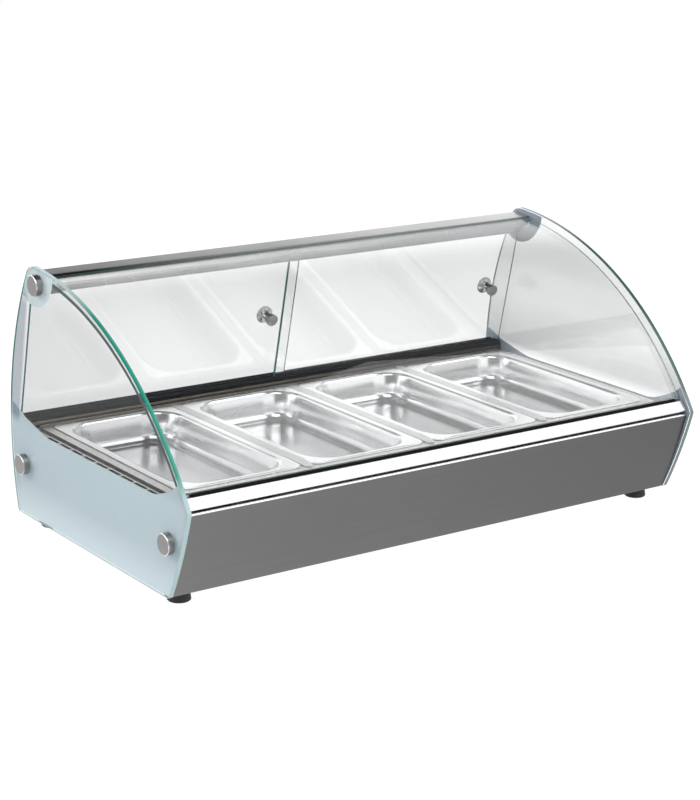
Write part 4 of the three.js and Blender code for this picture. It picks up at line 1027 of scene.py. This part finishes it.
# %% [markdown]
# ## Painted zones
#
# The boundary of the paint runs level above the deck and sweeps up at the front and the
# back, to meet the glass edge. Cutting the film out of the solid's mesh would bring the
# bevels along, so the outline of each film is sampled from the panel's own circles, a
# little inside the edge of the glass.


# %% Panel circles
def circles_meet(a, ra, b, rb, side):
    """Where two circles cross, which is the centre of an arc that touches both ends."""
    (ax, ay), (bx, by) = a, b
    dx, dy = bx - ax, by - ay
    gap = math.hypot(dx, dy)
    along = (ra * ra - rb * rb + gap * gap) / (2 * gap)
    off = side * math.sqrt(max(0.0, ra * ra - along * along))
    return (ax + (dx * along - dy * off) / gap, ay + (dy * along + dx * off) / gap)


def depth_at(circle, z, side):
    (cy, cz), radius = circle
    return cy + side * math.sqrt(radius * radius - (z - cz) ** 2)


HALF_DEPTH, PANEL_LOW = 0.2257, 0.0165
BACK_RADIUS, UPPER_RADIUS, LOWER_RADIUS = 0.44772, 0.473, 0.650
TOP_ROUND = ((0.1505, 0.3365), 0.023)
BACK_ROUND = ((HALF_DEPTH - BACK_RADIUS, 0.1325), BACK_RADIUS)
NOSE, NOSE_RADIUS = (-0.2197, 0.134), 0.006
FRONT_FOOT = (-0.181, PANEL_LOW)
upper_reach, top_reach = UPPER_RADIUS - NOSE_RADIUS, UPPER_RADIUS - TOP_ROUND[1]
UPPER = (circles_meet(NOSE, upper_reach, TOP_ROUND[0], top_reach, -1), UPPER_RADIUS)
LOWER = (circles_meet(NOSE, LOWER_RADIUS - NOSE_RADIUS, FRONT_FOOT, LOWER_RADIUS, 1), LOWER_RADIUS)
print("front centres:", [[round(v, 4) for v in circle[0]] for circle in (UPPER, LOWER)])

# %% [markdown]
# The lower film follows the back of the panel up, the two sweeps across and the front of
# the panel down. The sweeps are free curves on the real panel, so a few measured points
# (in millimetres) stand for each.

# %% Lower film
FILM_INSET = 0.0012
BACK_SWEEP = [
    (107, 136.8), (123, 137.4), (139.5, 140.5), (156.2, 144.0), (172.9, 148.2), (187, 151.5),
    (203.8, 158.3),
]
FRONT_SWEEP = [
    (-206.7, 166), (-193, 157.3), (-179.2, 149.8), (-165.3, 144.2), (-151.3, 139.2), (-137, 136.8)
]
BACK_TOP, FRONT_TOP = 0.165, 0.166
LONG_STEPS, NOSE_STEPS = 24, 8


def spread(start, stop, steps):
    return [start + (stop - start) * k / steps for k in range(steps + 1)]


def inset_depths(circle, side, heights):
    centre, radius = circle
    return [(depth_at((centre, radius - FILM_INSET), z, side), z) for z in heights]


def lower_film_outline():
    low, nose = PANEL_LOW + FILM_INSET, NOSE[1]
    back = [(depth_at(BACK_ROUND, z, 1) - FILM_INSET, z) for z in spread(low, BACK_TOP, LONG_STEPS)]
    sweeps = BACK_SWEEP[::-1] + FRONT_SWEEP[::-1][:-1]
    upper = inset_depths(UPPER, -1, spread(FRONT_TOP, nose, NOSE_STEPS))
    lower = inset_depths(LOWER, -1, spread(nose, low, LONG_STEPS)[1:])
    return back + [(y / 1000, z / 1000) for y, z in sweeps] + upper + lower


print("lower film:", len(lower_film_outline()), "points")

# %% [markdown]
# The upper film is a round patch. Where the circle passes the panel's edge, its points
# are pulled back onto the edge, and points that fall together are dropped.

# %% Top film
PATCH_CENTRE, PATCH_RADIUS, PATCH_STEPS = (0.153, 0.358), 0.0514, 180
SHORTEST_SIDE = 0.0005


def pulled_inside(spot, centre, limit):
    (y, z), (cy, cz) = spot, centre
    reach = math.hypot(y - cy, z - cz)
    if reach <= limit:
        return spot
    return (cy + (y - cy) * limit / reach, cz + (z - cz) * limit / reach)


def angle_round(spot, centre):
    return math.atan2(spot[1] - centre[1], spot[0] - centre[0])


def top_film_outline():
    corner, corner_radius = TOP_ROUND
    first, last = angle_round(corner, BACK_ROUND[0]), angle_round(corner, UPPER[0])
    kept = []
    for k in range(PATCH_STEPS + 1):
        angle = math.tau * k / PATCH_STEPS
        spot = (
            PATCH_CENTRE[0] + PATCH_RADIUS * math.cos(angle),
            PATCH_CENTRE[1] + PATCH_RADIUS * math.sin(angle),
        )
        for centre, radius in (UPPER, BACK_ROUND):
            spot = pulled_inside(spot, centre, radius - FILM_INSET)
        if first <= angle_round(spot, corner) <= last:
            spot = pulled_inside(spot, corner, corner_radius - FILM_INSET)
        if not kept or math.dist(spot, kept[-1]) > SHORTEST_SIDE:
            kept.append(spot)
    return kept


print("top film:", len(top_film_outline()), "points")

# %% Build the films
FILM_X = (0.39885, 0.39895)
ZONES = (("lower", lower_film_outline(), paint), ("top", top_film_outline(), patch_paint))

for side, sign in (("left", -1), ("right", 1)):
    for zone, outline, coat in ZONES:
        points, faces = prism(outline, sign * FILM_X[0], sign * FILM_X[1])
        film = piece_from(f"{side}_{zone}_paint", points, faces, coat, "case")
        # The inner face of each film takes the darker copy of the paint, painted shade.
        finish_faces(film.data, paint_back, lambda face: face.normal.x * sign < -0.5)
print("films:", 2 * len(ZONES))

# %% [markdown]
# ## Front panel and band
#
# Both are sheets folded on a press brake, so each fold has a real radius that catches
# the light as one bright line. A bevel on the solid would round the inside of a fold as
# much as the outside. So they are built from their fold lines: the outer line of the
# sheet with its corners bent, and the same line again one thickness inside.

# %% Bend a sheet
FOLD_STEPS = 8


def offset_line(line, distance):
    """A copy of a line of (y, z) points, moved sideways by distance at every point."""
    moved = []
    for k, (y, z) in enumerate(line):
        before, after = line[max(k - 1, 0)], line[min(k + 1, len(line) - 1)]
        sides = []
        for start, stop in ((before, (y, z)), ((y, z), after)):
            run = math.hypot(stop[0] - start[0], stop[1] - start[1])
            if run > 0:
                sides.append(((stop[1] - start[1]) / run, -(stop[0] - start[0]) / run))
        ny, nz = sum(s[0] for s in sides), sum(s[1] for s in sides)
        size = (ny * ny + nz * nz) / len(sides)
        moved.append((y + distance * ny / size, z + distance * nz / size))
    return moved


def bend_corner(before, corner, after, radius):
    """The points of the arc that rounds one corner of a folded sheet."""
    before, corner, after = Vector(before), Vector(corner), Vector(after)
    into, out = (before - corner).normalized(), (after - corner).normalized()
    half = into.angle(out) / 2
    reach = radius / math.tan(half)
    middle = corner + (into + out).normalized() * (radius / math.sin(half))
    start, stop = corner + into * reach - middle, corner + out * reach - middle
    spokes = [start.lerp(stop, k / FOLD_STEPS).normalized() for k in range(FOLD_STEPS + 1)]
    return [tuple(middle + spoke * radius) for spoke in spokes]


def sheet(line, corners, radius, thickness):
    """The closed section of a folded sheet: its bent outer line, and back inside."""
    outer = []
    for k, spot in enumerate(line):
        if k in corners:
            outer += bend_corner(line[k - 1], spot, line[k + 1], radius)
        else:
            outer.append(spot)
    return outer + offset_line(outer, thickness)[::-1]


print("sheet helpers ready")

# %% Fold lines
SHEET, BODY_HALF = 0.0015, 0.397
PANEL_INSET, FOLD_TOP, TOP_FLANGE, FOOT_FLANGE = 0.005, 0.1323, 0.014, 0.016
PANEL_BEND, BAND_BEND = 0.0026, 0.0019

fold_top = (depth_at((LOWER[0], LOWER_RADIUS - PANEL_INSET), FOLD_TOP, -1), FOLD_TOP)
fold_foot = (-0.179, PANEL_LOW)
bow = (circles_meet(fold_top, LOWER_RADIUS, fold_foot, LOWER_RADIUS, 1), LOWER_RADIUS)
bow_line = [(depth_at(bow, z, -1), z) for z in spread(FOLD_TOP, PANEL_LOW, LONG_STEPS)]
panel_line = [
    (fold_top[0] + TOP_FLANGE, FOLD_TOP), *bow_line, (fold_foot[0] + FOOT_FLANGE, PANEL_LOW)
]
band_line = [
    (-0.19818, 0.1343), (-0.19818, 0.1490), (-0.20948, 0.1490), (-0.22107, 0.1352),
    (-0.21407, 0.1352),
]
print("fold points:", len(panel_line), "and", len(band_line))

# %% Folded sheets
TOP_FOLD_FOOT = 0.12


def folded_sheet(name, line, corners, radius, material, node):
    points, faces = prism(sheet(line, corners, radius, -SHEET), -BODY_HALF, BODY_HALF)
    piece = piece_from(name, points, faces, material, "case", (node,))
    ys, zs = [p[1] for p in points], [p[2] for p in points]
    print(name, [round(v * 1000, 2) for v in (min(ys), max(ys), min(zs), max(zs))])
    return piece


def is_highlight_fold(face):
    return face.normal.z > 0.12 and face.center.z > TOP_FOLD_FOOT


panel = folded_sheet(
    "front_panel_sheet", panel_line, (1, len(panel_line) - 2), PANEL_BEND,
    front_steel, "front_panel",
)
band = folded_sheet(
    "front_band_sheet", band_line, (1, 2, 3), BAND_BEND, band_steel, "front_band"
)
# The front panel's top fold takes the band's brighter steel, a painted highlight along the fold.
finish_faces(panel.data, band_steel, is_highlight_fold)
soften(panel, MESH_BEVEL)
soften(band, MESH_BEVEL)

# %% [markdown]
# ## Seal on the rail
#
# A black strip of sealant closes the joint between the rail and the top edge of the front
# glass. It lies along the rail's front shoulder and tapers towards the right. Since it
# tapers, it isn't a prism: its two ends are written out, and faces join them.

# %% Seal strip
SEAL_FRONT, SEAL_FOOT, RAIL_FACE, SHOULDER_RISE = 0.1290, 0.3486, 0.1299, 0.0003
SEAL_ENDS = ((-BODY_HALF, 0.3506, 0.1345, 0.3518), (BODY_HALF, 0.3496, 0.1303, 0.3501))
SEAL_BEVEL = 0.0001

seal_points = []
for x, shoulder, back, top in SEAL_ENDS:
    seal_points += [
        (x, SEAL_FRONT, SEAL_FOOT), (x, RAIL_FACE, SEAL_FOOT), (x, RAIL_FACE, shoulder),
        (x, back, shoulder + SHOULDER_RISE), (x, back, top), (x, SEAL_FRONT, top),
    ]
seal_faces = ring_faces(2, len(seal_points) // 2)
# Its lip colour pales towards the right, which is painted light.
seal = piece_from("rail_seal", seal_points, seal_faces, seal_lip, "case")
soften(seal, SEAL_BEVEL)
print("seal:", len(seal_points), "points")

# %% [markdown]
# ## Floor
#
# The picture has a plain white ground. More light would whiten the floor, but it would
# bleach the case as well. So the floor glows a little for rays from the camera and for
# reflected and refracted ones, and stays a plain pale floor for the light itself, which
# keeps its soft shadow.
#
# A studio would lay a dark card beside the left panel, to keep that panel clear of haze.
# Here the floor darkens on that side, for reflected and refracted rays only.

# %% Floor mesh
FLOOR_HALF = 6.0
floor_corners = [(-1, -1), (1, -1), (1, 1), (-1, 1)]
floor_mesh = bpy.data.meshes.new("studio_floor")
floor_points = [(x * FLOOR_HALF, y * FLOOR_HALF, 0) for x, y in floor_corners]
floor_mesh.from_pydata(floor_points, [], [(0, 1, 2, 3)])
floor = bpy.data.objects.new("studio_floor", floor_mesh)
scene.collection.objects.link(floor)
print("floor:", 2 * FLOOR_HALF, "m wide")

# %% Floor material
GLOW_STRENGTH, GLOW_SHARE = 1.45, 0.62
CARD_SHARE, CARD_RIGHT, CARD_FRONT = 0.76, (0.42, 0.50), (-0.35, -0.20)

floor_paint = blank_material("floor_paint")
tree = floor_paint.node_tree
path = add_node(tree, "ShaderNodeLightPath").outputs
mirrored = math_node(tree, "MAXIMUM", path["Is Transmission Ray"], path["Is Glossy Ray"])
seen = math_node(tree, "MAXIMUM", path["Is Camera Ray"], mirrored)
lit = add_node(tree, "ShaderNodeBsdfDiffuse", {"Color": (0.8, 0.8, 0.8, 1)}).outputs[0]
glow_inputs = {"Color": (1, 1, 1, 1), "Strength": GLOW_STRENGTH}
glow = add_node(tree, "ShaderNodeEmission", glow_inputs).outputs[0]
glow_share = math_node(tree, "MULTIPLY", seen, GLOW_SHARE)
white = add_node(tree, "ShaderNodeMixShader", {0: glow_share, 1: lit, 2: glow}).outputs[0]

past_panel = ramp(tree, (-1.0, 0.0, 0.0), *CARD_RIGHT)
behind_front = ramp(tree, (0.0, 1.0, 0.0), *CARD_FRONT)
beside = math_node(tree, "MULTIPLY", past_panel, behind_front)
card_share = math_node(tree, "MULTIPLY", math_node(tree, "MULTIPLY", beside, mirrored), CARD_SHARE)
card = add_node(tree, "ShaderNodeBsdfDiffuse", {"Color": (0.01, 0.01, 0.01, 1)}).outputs[0]
end_with(tree, add_node(tree, "ShaderNodeMixShader", {0: card_share, 1: white, 2: card}))
floor_mesh.materials.append(floor_paint)
print("floor ready")

# %% [markdown]
# ## World
#
# The camera sees plain white. For the light it is a quiet studio: pale all round and
# darker overhead. Polished steel needs something to mirror, so reflections also show a
# dark gap at the front left, a slightly darker foot at the front, and a white card at the
# front right, which gives the band its shine. A photograph of a real studio would do the
# same, but a few directions are enough and can be read.


# %% World helpers
def eased(tree, value, start, stop, low=0.0, high=1.0):
    return between(tree, value, start, stop, low, high, easing="SMOOTHSTEP")


def towards(tree, ray, aim):
    """One straight towards the aim, less the farther a ray turns from it."""
    return projected(tree, ray, Vector(aim).normalized())


def product(tree, *factors):
    total = factors[0]
    for factor in factors[1:]:
        total = math_node(tree, "MULTIPLY", total, factor)
    return total


print("world helpers ready")

# %% World
GAP_AIM, FRONT_AIM, CARD_AIM = (-0.78, -0.56, 0.24), (0.45, -0.89, 0.0), (0.60, -0.46, 0.66)
RING_LIGHT, OVERHEAD_LIGHT, GAP_LIGHT, CARD_LIGHT = 1.25, 0.06, 0.02, 1.2
FRONT_SHADE, DIFFUSE_GAIN = 0.35, 1.12
OVERHEAD_HEIGHTS, RING_HEIGHTS, SHADE_HEIGHTS = (0.45, 0.66), (0.0, 0.15), (0.02, 0.15)
GAP_SPREAD, CARD_SPREAD, FRONT_SPREAD = (0.82, 0.94), (0.91, 0.98), (0.2, 0.6)

world = bpy.data.worlds.new("studio")
scene.world = world
world.use_nodes = True
tree = world.node_tree
tree.nodes.clear()
ray = add_node(tree, "ShaderNodeTexCoord").outputs["Generated"]
height = add_node(tree, "ShaderNodeSeparateXYZ", {0: ray}).outputs["Z"]
overhead = eased(tree, height, *OVERHEAD_HEIGHTS, 1.0, OVERHEAD_LIGHT)
ring = eased(tree, height, *RING_HEIGHTS, 1.0, RING_LIGHT)
gap = eased(tree, towards(tree, ray, GAP_AIM), *GAP_SPREAD, 1.0, GAP_LIGHT)
white_card = eased(tree, towards(tree, ray, CARD_AIM), *CARD_SPREAD, 0.0, CARD_LIGHT)
in_front = eased(tree, towards(tree, ray, FRONT_AIM), *FRONT_SPREAD)
low_down = eased(tree, height, *SHADE_HEIGHTS, FRONT_SHADE, 0.0)
above_floor = math_node(tree, "GREATER_THAN", height, 0.0)
front = math_node(tree, "SUBTRACT", 1.0, product(tree, in_front, low_down, above_floor))
studio = math_node(tree, "ADD", product(tree, overhead, gap, ring, front), white_card)
even = product(tree, overhead, ring, DIFFUSE_GAIN)

path = add_node(tree, "ShaderNodeLightPath").outputs
shaped = between(tree, path["Is Diffuse Ray"], 0.0, 1.0, studio, even)
strength = between(tree, path["Is Camera Ray"], 0.0, 1.0, shaped, 1.0)
sky = add_node(tree, "ShaderNodeBackground", {"Color": (1, 1, 1, 1), "Strength": strength})
add_node(tree, "ShaderNodeOutputWorld", {"Surface": sky.outputs[0]})
print("world ready")

# %% [markdown]
# ## Lamps
#
# Three large soft boxes give the case its form: the main one at the front left, a weaker
# one at the front right, and one low at the left that lights the end panel. Small lamps
# would draw hard spots on the steel. The right one stays out of reflections, because the
# front glass would show its straight edge.

# %% Lamps
CASE_MIDDLE = (0.0, 0.0, 0.15)
FRONT_BOX, SIDE_BOX = 1.6, 1.2


def soft_box(name, place, power, size):
    data = bpy.data.lights.new(name, "AREA")
    data.shape, data.size, data.energy = "SQUARE", size, power
    lamp = bpy.data.objects.new(name, data)
    lamp.location = place
    lamp.rotation_mode = "QUATERNION"
    lamp.rotation_quaternion = (Vector(CASE_MIDDLE) - Vector(place)).to_track_quat("-Z", "Y")
    scene.collection.objects.link(lamp)
    return lamp


key = soft_box("key_box", (-1.2, -1.6, 2.4), 26.0, FRONT_BOX)
fill = soft_box("fill_box", (1.57, -1.32, 2.15), 14.0, FRONT_BOX)
fill.visible_glossy = False
side = soft_box("side_box", (-2.1, 0.7, 1.15), 10.0, SIDE_BOX)
print("lamps:", key.name, fill.name, side.name)
